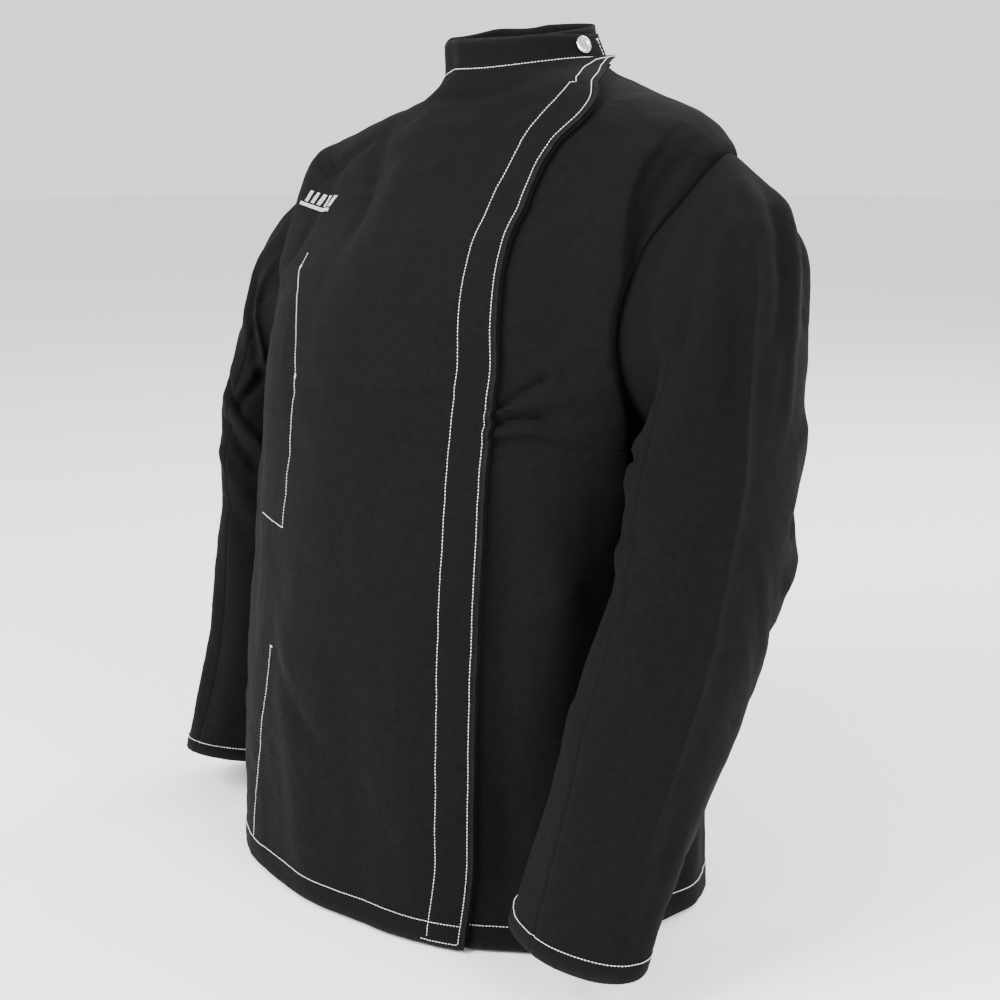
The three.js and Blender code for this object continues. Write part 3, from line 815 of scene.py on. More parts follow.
white_thread, thread_shader = new_material("white_spun_thread", Roughness=0.62, Sheen_Weight=0.2,
                                           Specular_IOR_Level=0.3)
thread_place = node(white_thread, "ShaderNodeTexCoord")
thread_noise = node(white_thread, "ShaderNodeTexNoise", {"Vector": thread_place.outputs["Object"]},
                    Scale=1 / (4 * MM), Detail=3.0)
thread_ramp = node(white_thread, "ShaderNodeValToRGB", {"Fac": thread_noise.outputs["Fac"]})
thread_ramp.color_ramp.elements[0].color = linear("#a5a5a2")
thread_ramp.color_ramp.elements[1].color = linear("#dcdcd8")
twist = node(white_thread, "ShaderNodeTexWave", {"Vector": thread_place.outputs["Object"]},
             bands_direction="DIAGONAL", Scale=0.32 / THREAD_TWIST)
thread_bump = node(white_thread, "ShaderNodeBump", {"Height": twist.outputs["Fac"]},
                   Strength=0.5, Distance=0.15 * MM)
white_thread.node_tree.links.new(thread_ramp.outputs["Color"], thread_shader.inputs["Base Color"])
white_thread.node_tree.links.new(thread_bump.outputs["Normal"], thread_shader.inputs["Normal"])

nickel, nickel_shader = new_material("nickel_plated_brass", Metallic=1.0)
nickel_place = node(nickel, "ShaderNodeTexCoord")
nickel_noise = node(nickel, "ShaderNodeTexNoise", {"Vector": nickel_place.outputs["Object"]},
                    Scale=1 / SCRATCH, Detail=4.0, Roughness=0.7)
nickel_ramp = node(nickel, "ShaderNodeMapRange", {"Value": nickel_noise.outputs["Fac"]},
                   To_Min=0.16, To_Max=0.34)
nickel_tone = node(nickel, "ShaderNodeValToRGB", {"Fac": nickel_noise.outputs["Fac"]})
nickel_tone.color_ramp.elements[0].color = linear("#b9b8b4")
nickel_tone.color_ramp.elements[1].color = linear("#dddcd9")
nickel_bump = node(nickel, "ShaderNodeBump", {"Height": nickel_noise.outputs["Fac"]},
                   Strength=0.08, Distance=0.1 * MM)
nickel.node_tree.links.new(nickel_ramp.outputs["Result"], nickel_shader.inputs["Roughness"])
nickel.node_tree.links.new(nickel_tone.outputs["Color"], nickel_shader.inputs["Base Color"])
nickel.node_tree.links.new(nickel_bump.outputs["Normal"], nickel_shader.inputs["Normal"])
print("materials:", [m.name for m in bpy.data.materials if m.users or m.use_nodes])

# %% [markdown]
# The joints
#
# The two front corners turn back about a diagonal fold, and the sleeves swing at the shoulder and
# bend at the elbow. Real cloth spreads each bend over a hand's width. Here each bend is only listed,
# with its two bodies and two points across its line, the shoulder's just below the armhole seam; a
# piece given a bend has its worn shape baked into its mesh and rides on no body. The thread on a
# piece is given the same bend as its cloth.

# %% Bends
def metres(*values):
    """A point given in millimetres, in metres."""
    return tuple(v * MM for v in values)


COLLAR_FOLD_TOP, COLLAR_FOLD_BOTTOM = np.array((-22.0, -24.0)), np.array((139.0, -262.0))
HEM_FOLD_TOP, HEM_FOLD_BOTTOM = np.array((143.0, -402.0)), np.array((-40.0, float(HEM)))


def across_fold(top, bottom, before, after):
    """Two points in mm on either side of a fold line in the front view, square to it."""
    x, z = (top + bottom) / 2
    run = (bottom - top) / np.linalg.norm(bottom - top)
    side = np.array((-run[1], run[0]))
    side = side * np.sign(side[0])
    start, end = np.array((x, z)) - side * before, np.array((x, z)) + side * after
    return metres(start[0], 0, start[1]), metres(end[0], 0, end[1])


BENDS = {
    "collar_fold": ("jacket_body", "collar_corner",
                      *across_fold(COLLAR_FOLD_TOP, COLLAR_FOLD_BOTTOM, 22, 18)),
    "hem_fold": ("jacket_body", "hem_corner", *across_fold(HEM_FOLD_TOP, HEM_FOLD_BOTTOM, 26, 12)),
}
for side, sign in (("left", 1), ("right", -1)):
    BENDS[f"{side}_shoulder"] = ("jacket_body", f"{side}_upper_sleeve",
                                 metres(sign * 231, 0, -318), metres(sign * 246, 0, -322.5))
    BENDS[f"{side}_elbow"] = (f"{side}_upper_sleeve", f"{side}_forearm_sleeve",
                              metres(0, -65, -379), metres(0, -90, -526))


def follow(piece, where):
    """The piece rides on a body; for a named bend its transform is only baked into its mesh."""
    if where in BENDS:
        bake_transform(piece)
    else:
        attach(piece, where)
    return piece


def dress(piece, material):
    """Gives the piece its material."""
    piece.data.materials.append(material)
    return piece


def declare(piece, points):
    """Prints a piece's cut size and area, measured from its own face, and its triangle count."""
    width, length, area = cut_size(points)
    print(f"{piece.name}: cut {width:.3f} x {length:.3f} m, {area:.3f} m2,",
          len(piece.data.polygons) * 2, "triangles")


# %% [markdown]
# The body panels
#
# A panel is a grid between two seams. Its rows are spread by the length of the body's outline, so
# the flat shoulder gets as many as the chest, and they bunch up at the turned hem, where the step
# of the double cloth must show. The wrap-over front is made as two pieces that meet on one row
# without a gap, because its upper corner and its lower corner turn about different folds.

# %% Panel grids
LEVELS = np.linspace(HEM, 12, 3000)
outline_steps = np.hypot(np.diff(LEVELS), np.diff(from_table(BODY, LEVELS)[0]))
OUTLINE = np.concatenate([[0], np.cumsum(outline_steps)])
STEP = 3.4
SPLIT = -332


def height_at(share, low, high):
    """Height at a share of the outline's length between two heights."""
    start, end = np.interp(low, LEVELS, OUTLINE), np.interp(high, LEVELS, OUTLINE)
    return np.interp(mix(start, end, share), OUTLINE, LEVELS)


def panel_grid(start, end, low, high, columns, rows):
    """Angles between start(z) and end(z), heights from low up to high(angle), settled together."""
    u, v = np.asarray(columns)[None, :], np.asarray(rows)[:, None]
    z = height_at(v + 0 * u, low, -30.0)
    degrees = mix(start(z), end(z), u)
    for _ in range(10):
        z = height_at(v + 0 * u, low, high(degrees))
        degrees = mix(degrees, mix(start(z), end(z), u), 0.7)
    return z, degrees


def spread(length, step=STEP, near=(), reach=()):
    """Shares from 0 to 1 about `step` mm apart, with extra ones at distances from either end."""
    shares = np.linspace(0, 1, max(2, int(length / step)) + 1)
    extra = [d / length for d in near] + [1 - d / length for d in reach]
    return np.unique(np.round(np.concatenate([shares, extra]), 5))


HEM_ROWS = (0.7, 1.5, HEM_DEPTH - 1.6, HEM_DEPTH - 0.6, HEM_DEPTH + 0.6, HEM_DEPTH + 1.6)
SEAM_COLUMNS = (1.2, 2.4, 4, 6)
ARMHOLE_TURNS = np.cos(np.radians([0, 3, 6, 9, 12, 16, 20, 25, 30]))
ARMHOLE_LEVELS = ARMHOLE_Z + ARMHOLE_HALF_HEIGHT * np.concatenate([ARMHOLE_TURNS, -ARMHOLE_TURNS])


def panel_rows(low, extra=()):
    """Shares up a panel's side, with rows where the armhole's curve turns under and over."""
    start, end = np.interp([low, neck_seam(SIDE)], LEVELS, OUTLINE)
    levels = ARMHOLE_LEVELS[ARMHOLE_LEVELS > low + 4]
    turns = (np.interp(levels, LEVELS, OUTLINE) - start) / (end - start)
    return np.unique(np.round(np.concatenate([spread(end - start, STEP, extra), turns]), 5))


def side_front(z):
    """Angle of the front's side: the side seam, or the armhole's front edge."""
    return SIDE - armhole_angle(z)


def side_back(z):
    """Angle of the back's side: the side seam, or the armhole's back edge."""
    return SIDE + armhole_angle(z)


def edge_wear(distance, reach=2.5):
    """1 on a turned edge, fading over a few mm."""
    return np.exp(-np.maximum(distance, 0) / reach)


def hem_wear(z):
    """Wear of the turned hem."""
    return edge_wear(z - HEM)


# %% Back
back_z, back_deg = panel_grid(
    side_back, lambda z: 360 - side_back(z), HEM, neck_seam,
    spread(660, 3.9, SEAM_COLUMNS, SEAM_COLUMNS), panel_rows(HEM, HEM_ROWS))
back_points = cloth(back_z, back_deg)
back = dress(cloth_piece("back_panel_cloth", back_points, turned=(0.8, 0, 0, 0), wear=hem_wear(back_z)),
             black_cotton)
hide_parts("back_panel")
follow(back, "jacket_body")
declare(back, back_points)

# %% Under front
left_z, left_deg = panel_grid(
    lambda z: UNDER_EDGE + 0 * z, side_front, HEM, neck_seam,
    spread(330, STEP, (), SEAM_COLUMNS), panel_rows(HEM, HEM_ROWS))
left_points = cloth(left_z, left_deg)
left_front = dress(cloth_piece("left_front_cloth", left_points, turned=(0.8, 0, 0, 0.8),
                               wear=hem_wear(left_z)), black_cotton)
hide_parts("left_front_panel")
follow(left_front, "jacket_body")
declare(left_front, left_points)

# %% [markdown]
# The wrap-over edge
#
# The placket's two rows of topstitching run parallel to the edge, 4.5 and 32.5 mm inside it. A line
# parallel to a curved edge is found by walking inwards over the cloth in small steps, each square
# to the line before it.

# %% Lines parallel to the edge
PLACKET_OUTER = 4.5
PLACKET_INNER = 32.5
EDGE_TOP = -11
edge_heights = np.concatenate([np.linspace(HEM, -90, 200), np.linspace(-89, EDGE_TOP, 120)])


def inset_line(distance):
    """Angle and height of the line `distance` mm inside the wrap-over edge, from hem to neck."""
    z, degrees = edge_heights.copy(), edge_angle(edge_heights)
    steps = max(1, round(distance / 2))
    for _ in range(steps):
        points = body(z, degrees)
        per_degree = body(z, degrees + 0.5) - body(z, degrees - 0.5)
        per_mm = body(z + 0.5, degrees) - body(z - 0.5, degrees)
        tangent = unit(np.gradient(points, axis=0))
        inwards = unit(np.cross(np.cross(per_degree, per_mm), tangent)) * distance / steps
        a = (per_degree * per_degree).sum(-1)
        b = (per_degree * per_mm).sum(-1)
        c = (per_mm * per_mm).sum(-1)
        p, q = (inwards * per_degree).sum(-1), (inwards * per_mm).sum(-1)
        det = a * c - b * b
        degrees = degrees + (c * p - b * q) / det
        z = z + (a * q - b * p) / det
    return degrees, z


def from_edge(z, degrees):
    """Distance in mm from the wrap-over edge, measured through space to the nearest edge point."""
    line = body(edge_heights, edge_angle(edge_heights))
    points = body(z, degrees).reshape(-1, 1, 3)
    parts = np.array_split(points, 24)
    nearest = [np.linalg.norm(part - line[None], axis=-1).min(1) for part in parts]
    return np.concatenate(nearest).reshape(z.shape)


PLACKET_STEP = 0.9


def placket_lift(z, degrees):
    """The placket's folded layers stand a little proud between its two stitch rows and the edge."""
    inside = from_edge(z, degrees)
    inner_hollow = np.exp(-(((inside - PLACKET_INNER) / 1.8) ** 2))
    outer_hollow = np.exp(-(((inside - PLACKET_OUTER) / 1.5) ** 2))
    hollow = inner_hollow + outer_hollow
    return PLACKET_STEP * smooth(PLACKET_INNER - inside, -2.5, 1.5) - 0.45 * hollow, inside


# %% Wrap-over front
WRAP_WIDTH = 470
FINE_STRIP, FINE_STEP = 44, 1.9


def placket_columns(length):
    """Columns that bunch up along the edge, where the placket and its stitch rows lie."""
    coarse = np.arange(0, length - FINE_STRIP, STEP) / length
    fine = 1 - np.arange(FINE_STRIP, 0, -FINE_STEP) / length
    return np.unique(np.round(np.concatenate([coarse, fine, [1 - 0.8 / length, 1]]), 5))


def wrap_front(name, low, high, rows, where, nodes, turned):
    """One piece of the wrap-over front between two heights."""
    z, degrees = panel_grid(lambda h: -side_front(h), edge_angle, low, high,
                            placket_columns(WRAP_WIDTH), rows)
    lift, inside = placket_lift(z, degrees)
    points = cloth(z, degrees, lap_out(degrees, z) + lift)
    wear = np.maximum(edge_wear(inside, 2), hem_wear(z))
    piece = dress(cloth_piece(name, points, turned=turned, wear=wear), black_cotton)
    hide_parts(*nodes)
    follow(piece, where)
    declare(piece, points)
    return piece


wrap_front("right_front_upper_cloth", SPLIT, neck_seam, panel_rows(SPLIT), "collar_fold",
           ["right_front_panel", "collar_corner_flap"], (0, 0.9, 0, 0))
wrap_front("right_front_lower_cloth", HEM, lambda degrees: SPLIT + 0 * degrees,
           spread(408, STEP, HEM_ROWS), "hem_fold", ["right_front_panel", "hem_corner_flap"],
           (0.8, 0.9, 0, 0))

# %% [markdown]
# The concealed fly
#
# Behind the edge lies a strip that carries the snap sockets, so that no metal shows outside. It is
# a folded strip of the same cloth, a little beyond the edge, where it shows as a second thin line.

# %% Fly
FLY_OUT = 4.7
FLY_BEYOND = 1.5
FLY_WIDTH = 32
FLY_COLUMNS = 14
FLY_FOOT, FLY_HEAD = 3, 6     # rows of the edge that it stops short of, at the hem and at the neck


def fly_piece(name, first, last, where, nodes):
    """The strip between two insets of the edge, from one row of the edge to another."""
    insets = np.linspace(FLY_WIDTH, -FLY_BEYOND, FLY_COLUMNS)
    lines = [inset_line(d) for d in insets]
    degrees = np.stack([line[0][first:last] for line in lines], 1)
    z = np.stack([line[1][first:last] for line in lines], 1)
    points = cloth(z, degrees, FLY_OUT + tip_flare(degrees, z))
    piece = dress(cloth_piece(name, points, thickness=1, turned=(0.5, 0.5, 0.5, 0.5)),
                  lining_cotton)
    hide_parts(*nodes)
    follow(piece, where)
    declare(piece, points)


split_row = int(np.searchsorted(edge_heights, SPLIT))
fly_piece("placket_fly_lower", FLY_FOOT, split_row + 1, "hem_fold", ["hem_corner_fly", "front_fly"])
fly_piece("placket_fly_upper", split_row, len(edge_heights) - FLY_HEAD, "collar_fold",
          ["collar_corner_fly", "front_fly"])

# %% [markdown]
# Pocket bags
#
# The chest pocket and the hip pocket of the wearer's right front are bags of plain cotton sewn to
# the inside. Only their stitching shows outside.

# %% Pocket bags
def bag_piece(name, start, end, low, high, cad_node):
    """A flat bag just inside the right front."""
    z, degrees = panel_grid(lambda h: start + 0 * h, lambda h: end + 0 * h, low,
                            lambda d: high + 0 * d, spread(150, 4), spread(high - low, 4))
    bulge = 1.2 * smooth(degrees, start, start + 10) * smooth(-degrees, -end, 10 - end)
    points = cloth(z, degrees, -CLOTH - 0.7 - bulge)
    piece = dress(cloth_piece(name, points, thickness=1, turned=(0.5, 0.5, 0.5, 0.5)),
                  lining_cotton)
    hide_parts(cad_node)
    follow(piece, "jacket_body")
    declare(piece, points)


bag_piece("chest_pocket_bag_cloth", -62, -21, -412, -184, "chest_pocket_bag")
bag_piece("hip_pocket_bag_cloth", -62, -28, HEM + 24, -530, "hip_pocket_bag")

# %% [markdown]
# The collar
#
# A stand collar is a curved band, doubled and stiffened, so it holds its height and hardly folds.
# It runs from its inner end behind the wrap-over, once round the neck, to its outer end at the
# snap. The last third turns back with the front's corner, so it is a piece of its own.

# %% Collar
COLLAR_START, COLLAR_SPLIT, COLLAR_END = 62, 300, 468
COLLAR_LEAN = -4
TAB_TAPER = 6


def collar(degrees, share, out=0.0):
    """Point of the band: share is 0 at the neck seam and 1 at the top edge."""
    taper = TAB_TAPER * smooth(degrees, COLLAR_END - 60, COLLAR_END)
    z = neck_seam(degrees) + share * (COLLAR_HEIGHT - taper)
    stand = np.where(degrees > 180, lap_out(degrees - 360), 0) + out
    base = body(z, degrees)
    normal = body_normal(z, degrees)
    lean = COLLAR_LEAN * share
    soft = 0.35 * waves(base, 40, 77) * smooth(share, 0, 0.4)
    made = base + normal * (stand + soft)[..., None]
    return made + np.stack([lean, lean, 0 * lean], -1)


def collar_piece(name, start, end, where, nodes, turned):
    """Part of the band between two angles."""
    degrees, share = np.meshgrid(np.linspace(start, end, int((end - start) * 0.75)),
                                 np.linspace(0, 1, 15))
    seam_groove = -0.5 * np.exp(-(((share - 0.14) / 0.06) ** 2))
    points = collar(degrees, share, seam_groove)
    top_wear = edge_wear((1 - share) * COLLAR_HEIGHT, 1.8)
    end_wear = edge_wear((COLLAR_END - degrees) * 1.2, 2)
    wear = np.maximum(top_wear, end_wear)
    piece = dress(cloth_piece(name, points, thickness=COLLAR_CLOTH, turned=turned, wear=wear),
                  black_cotton)
    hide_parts(*nodes)
    follow(piece, where)
    declare(piece, points)


collar_piece("collar_band_cloth", COLLAR_START, COLLAR_SPLIT, "jacket_body", ["collar_band"],
             (0, 0, 1.1, 1.1))
collar_piece("collar_tab_cloth", COLLAR_SPLIT, COLLAR_END, "collar_fold", ["collar_band", "collar_tab"],
             (0, 1.1, 1.1, 0))

# %% Hanger loop
LOOP_HALF, LOOP_BOW, LOOP_BACK, LOOP_LOW, LOOP_HEIGHT = 26, 11, 55, 0.5, 10.2


def loop_points():
    """A strap bowed forwards as a parabola, a little rounded across its height."""
    u, v = np.meshgrid(np.linspace(-1, 1, 41), np.linspace(0, 1, 9))
    bow = LOOP_BACK - (LOOP_BOW + 1.2) * (1 - u * u) + 0.35 * np.abs(2 * v - 1) ** 3
    return np.stack([-u * (LOOP_HALF + 1), bow, LOOP_LOW + LOOP_HEIGHT * v], -1)


hanger_points = loop_points()[:, ::-1]
hanger = dress(cloth_piece("hanger_loop_tape", hanger_points, thickness=1.2, turned=(0.5, 0.5, 0.5, 0.5)),
               lining_cotton)
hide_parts("hanger_loop")
follow(hanger, "jacket_body")
declare(hanger, hanger_points)

# %% [markdown]
# The sleeves
#
# Each sleeve is one tube sewn from an outer and an inner half, whose seams run down its front and
# its back as fine grooves. It is two pieces, which meet without a gap a hand above the elbow: the
# upper one is given the shoulder's bend and the lower one the elbow's.

# %% Sleeves
SLEEVE_SPLIT = 0.46


def sleeve_piece(side, name, t0, t1, where, nodes, turned, rows):
    """A tube between two shares of the sleeve's length, open at both ends."""
    turns = np.linspace(0, 360, 151)[:-1]
    beside_seam = [[s - 2.4, s - 1.2, s, s + 1.2, s + 2.4] for s in (90, 270)]
    turns = np.unique(np.concatenate([turns, *beside_seam]))
    if side == "right":
        turns = turns[::-1]
    t, turn = np.meshgrid(mix(t0, t1, rows), turns, indexing="ij")
    points = sleeve_cloth(side, t, turn)
    wear = edge_wear((1 - t) * SLEEVE_LENGTH)
    piece = dress(cloth_piece(name, points, wrap=True, turned=turned, wear=wear),
                  black_cotton)
    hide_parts(*nodes)
    follow(piece, where)
    declare(piece, np.concatenate([points, points[:, :1]], 1))


for side in ("left", "right"):
    upper, lower = SLEEVE_SPLIT * SLEEVE_LENGTH, (1 - SLEEVE_SPLIT) * SLEEVE_LENGTH
    sleeve_piece(side, f"{side}_upper_sleeve_cloth", 0, SLEEVE_SPLIT, f"{side}_shoulder",
                 [f"{side}_upper_sleeve_outer", f"{side}_upper_sleeve_inner"], (0, 0, 0, 0),
                 spread(upper, 3.2, (1.2, 2.4, 4, 6)))
    sleeve_piece(side, f"{side}_forearm_sleeve_cloth", SLEEVE_SPLIT, 1, f"{side}_elbow",
                 [f"{side}_forearm_sleeve_outer", f"{side}_forearm_sleeve_inner"], (0, 0, 0.8, 0),
                 spread(lower, 3.2, (), (0.7, 1.5, 10.4, 11.4, 12.6, 13.6)))

# %% [markdown]
# Topstitching
#
# A lockstitch shows as short lengths of thread that rise out of the cloth and dive back into it,
# eight to the inch. Each is a little arched sausage of a few dozen faces, laid along a line on the
# worn cloth. All the thread on one piece of cloth is one mesh, given the same body or bend as that cloth.

# %% Stitches
STITCH_PITCH = 2.9
STITCH_FILL = 0.86
STITCH_POINTS = 30    # five rings of six points
THREAD_RADIUS = 0.34
stitch_counts = {}


def stitches(points, normals):
    """Vertices and faces of the stitches along a line: rings of six round an arched centre line."""
    step = np.linalg.norm(np.diff(points, axis=0), axis=1)
    run = np.concatenate([[0], np.cumsum(step)])
    number = max(1, int(run[-1] / STITCH_PITCH))
    share = np.array([0.0, 0.16, 0.5, 0.84, 1.0])
    rise = np.array([-0.5, 0.25, 0.42, 0.25, -0.5])
    thick = np.array([0.45, 0.95, 1.0, 0.95, 0.45]) * THREAD_RADIUS
    at = (np.arange(number)[:, None] + 0.5 + (share - 0.5) * STITCH_FILL) * run[-1] / number
    centre = np.stack([np.interp(at, run, points[:, k]) for k in range(3)], -1)
    normal = unit(np.stack([np.interp(at, run, normals[:, k]) for k in range(3)], -1))
    tangent = unit(np.gradient(centre, axis=1))
    side = np.cross(tangent, normal)
    centre = centre + normal * rise[None, :, None]
    angles = np.radians(np.arange(6) * 60)
    ring = (side[:, :, None] * np.cos(angles)[None, None, :, None]
            + normal[:, :, None] * np.sin(angles)[None, None, :, None]) * thick[None, :, None, None]
    vertices = (centre[:, :, None] + ring).reshape(-1, 3)
    first = np.arange(number)[:, None, None] * STITCH_POINTS
    base = first + np.arange(4)[None, :, None] * 6
    k = np.arange(6)[None, None, :]
    around_ring = np.stack([base + k, base + (k + 1) % 6, base + 6 + (k + 1) % 6, base + 6 + k], -1)
    caps = [[0, 3, 2, 1], [0, 5, 4, 3], [24, 25, 26, 27], [24, 27, 28, 29]]
    ends = first + np.array(caps)[None]
    faces = np.concatenate([around_ring.reshape(-1, 4), ends.reshape(-1, 4)])
    return vertices, faces


def stitch_piece(name, lines, where):
    """One mesh of all the stitches along several lines, each given as (points, normals)."""
    vertices, faces, total = [], [], 0
    for points, normals in lines:
        v, f = stitches(points, normals)
        vertices.append(v)
        faces.append(f + total)
        total += len(v)
    vertices, faces = np.concatenate(vertices), np.concatenate(faces)
    piece = dress(finish_mesh(name, vertices, faces[:, ::-1], np.zeros((faces.size, 2))),
                  white_thread)
    follow(piece, where)
    stitch_counts[name] = total // STITCH_POINTS
    return piece


def wrap_line(degrees, z):
    """A line on the wrap-over front, with its normals."""
    degrees, z = np.asarray(degrees, float), np.asarray(z, float)
    lift, _ = placket_lift(z, degrees)
    return cloth(z, degrees, lap_out(degrees, z) + lift), body_normal(z, degrees)


def plain_line(degrees, z):
    """A line on the under front or the back, with its normals."""
    return cloth(z, degrees), body_normal(z, degrees)


def dense(values, count=160):
    """A few (angle, height) points as a smooth dense line."""
    line = through(values, count)
    return line[0], line[1]


def above(degrees, z, low):
    """The part of a line above a height."""
    keep = z >= low
    return degrees[keep], z[keep]


def under_seam(degrees, z, gap):
    """The part of a line that stays a gap below the neck seam."""
    keep = z <= neck_seam(degrees) - gap
    return degrees[keep], z[keep]


def cut_at(degrees, z, level, keep_above):
    """A line cut exactly at a height, so that stitches run on from one piece to the next."""
    order = np.argsort(z)
    at = np.interp(level, z[order], degrees[order])
    keep = z > level if keep_above else z < level
    d, h = np.append(degrees[keep], at), np.append(z[keep], level)
    order = np.argsort(h)
    return d[order], h[order]


# %% Placket, hem and pocket stitches
BOTTOM_ROW = HEM + 3.5
HEM_ROW = HEM + HEM_DEPTH
outer_row, inner_row = inset_line(PLACKET_OUTER), inset_line(PLACKET_INNER)
inner_top = dense([(20.2, -115), (22, -79), (27.5, -57), (34, -45), (44, -34.5), (46.5, -32.6), (49, -32.2),
                   (52, -29), (69, -20), (86, -13.2)], 160)
inner_body = [row[inner_row[1] < -135] for row in inner_row]
inner_row = [np.concatenate([a, b]) for a, b in zip(inner_body, inner_top)]
top_row = dense([(86, -13.2), (95, -12), (106, -10.5), (111, -10)], 60)
chest_line = dense([(-34.2, -164), (-34.6, -179), (-30, -200), (-26, -223), (-22.8, -257), (-21.2, -279),
                    (-20.3, -334), (-20.2, -379), (-20.6, -413)], 200)
chest_foot = dense([(-20.6, -413), (-27.5, -411.5), (-35, -410)], 40)
side_line = dense([(-25.2, -528), (-26.5, -569), (-29, -630), (-31.6, -683), (-32.6, -719)], 160)

upper_lines = [wrap_line(*cut_at(*under_seam(*outer_row, 4), SPLIT, True)),
               wrap_line(*cut_at(*inner_row, SPLIT, True)), wrap_line(*top_row),
               wrap_line(*cut_at(*chest_line, SPLIT, True))]
stitch_piece("wrap_front_stitches_upper", upper_lines, "collar_fold")

hem_front = np.linspace(-SIDE + 1, float(edge_angle(HEM_ROW)) - 1.4, 500)
placket_foot = np.linspace(float(edge_angle(BOTTOM_ROW)) - 9.4, float(edge_angle(BOTTOM_ROW)) - 1.2, 40)
lower_lines = [wrap_line(*above(*cut_at(*outer_row, SPLIT, False), BOTTOM_ROW)),
               wrap_line(*above(*cut_at(*inner_row, SPLIT, False), BOTTOM_ROW)),
               wrap_line(hem_front, HEM_ROW + 0 * hem_front),
               wrap_line(placket_foot, BOTTOM_ROW + 0 * placket_foot),
               wrap_line(*cut_at(*chest_line, SPLIT, False)), wrap_line(*chest_foot),
               wrap_line(*side_line)]
stitch_piece("wrap_front_stitches_lower", lower_lines, "hem_fold")

hem_left = np.linspace(UNDER_EDGE + 1, SIDE - 1, 400)
stitch_piece("under_front_hem_stitches", [plain_line(hem_left, HEM_ROW + 0 * hem_left)], "jacket_body")
hem_back = np.linspace(SIDE + 1, 360 - SIDE - 1, 700)
stitch_piece("back_hem_stitches", [plain_line(hem_back, HEM_ROW + 0 * hem_back)], "jacket_body")


# %% Collar and cuff stitches
def collar_line(degrees, share):
    """A line on the collar band, with its normals."""
    degrees, share = np.broadcast_arrays(np.asarray(degrees, float), np.asarray(share, float))
    groove = -0.5 * np.exp(-(((share - 0.14) / 0.06) ** 2))
    points = collar(degrees, share, groove)
    along = collar(degrees + 0.5, share) - collar(degrees - 0.5, share)
    up = collar(degrees, share + 0.05) - collar(degrees, share - 0.05)
    return points, unit(np.cross(along, up))


COLLAR_ROW = 0.13
COLLAR_END_ROW = COLLAR_END - 4.5
base_end = np.linspace(COLLAR_SPLIT + 1, COLLAR_END_ROW, 300)
end_share = np.linspace(COLLAR_ROW, 0.72, 40)
stitch_piece("collar_tab_stitches", [collar_line(base_end, COLLAR_ROW),
                                     collar_line(COLLAR_END_ROW + 0 * end_share, end_share)], "collar_fold")
base_start = np.linspace(COLLAR_START + 2, COLLAR_SPLIT - 1, 400)
stitch_piece("collar_band_stitches", [collar_line(base_start, COLLAR_ROW)], "jacket_body")

CUFF_ROW = 1 - 12 / SLEEVE_LENGTH
for side in ("left", "right"):
    turn = np.linspace(0, 360, 500) if side == "left" else np.linspace(360, 0, 500)
    cuff = (sleeve_cloth(side, CUFF_ROW, turn), sleeve_normal(side, CUFF_ROW + 0 * turn, turn))
    stitch_piece(f"{side}_cuff_stitches", [cuff], f"{side}_elbow")

# %% [markdown]
# Bar tacks and the woven mark
#
# A pocket mouth would tear at its ends, so each end has a bar tack: a few stitches side by side
# across the line. The small white mark on the chest is plain embroidery: slanted bars of satin
# stitch over one long bar, with no letters.

# %% Tacks and mark
def tack(z, degrees, half, count, gap, line_of, slant=0.0):
    """Short threads side by side: `count` lines, each 2 x half mm wide across the panel."""
    lines = []
    for k in range(count):
        height = z + (k - (count - 1) / 2) * gap
        across = np.linspace(-half, half, 6) / GIRTH_PER_DEGREE
        lines.append(line_of(degrees + across, height + slant * np.linspace(-half, half, 6)))
    return lines


tacks = []
for z, degrees in ((-179, -34.6), (-279, -21.2)):
    tacks += tack(z, degrees, 1.9, 5, 0.75, wrap_line)
stitch_piece("chest_pocket_tacks", tacks, "collar_fold")
stitch_piece("side_opening_tacks", tack(-526, -25, 2.6, 3, 0.75, wrap_line), "hem_fold")
collar_tack = [collar_line(COLLAR_END_ROW + np.linspace(-1.3, 1.3, 6), 0.74 + 0.025 * k) for k in range(4)]
stitch_piece("collar_end_tack", collar_tack, "collar_fold")

MARK_FROM, MARK_TO, MARK_LOW, MARK_HIGH = -58, -34, -124, -110
mark_lines = []
for bar in range(5):
    left = mix(MARK_FROM + 2, MARK_TO - 5, bar / 4)
    for row in np.linspace(MARK_LOW + 4.5, MARK_HIGH, 13):
        shift = (row - MARK_LOW) * 0.16
        width = np.linspace(0, 2.2, 5)
        mark_lines.append(wrap_line(left + shift + width, row + 0 * width))
for row in np.linspace(MARK_LOW, MARK_LOW + 2.4, 4):
    long_bar = np.linspace(MARK_FROM, MARK_TO - 2, 60)
    mark_lines.append(wrap_line(long_bar, row + 0 * long_bar))
mark = stitch_piece("chest_mark_embroidery", mark_lines, "jacket_body")
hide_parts("chest_mark")
print("thread:", stitch_counts, "in all", sum(stitch_counts.values()))

# %% [markdown]
# Snaps
#
# A snap is four pressed parts: cap, socket, stud and post. All are turned shapes, so each is a
# profile of radius against height spun round the snap's own axis. Its corners are rounded by
# running a smooth curve through the profile.

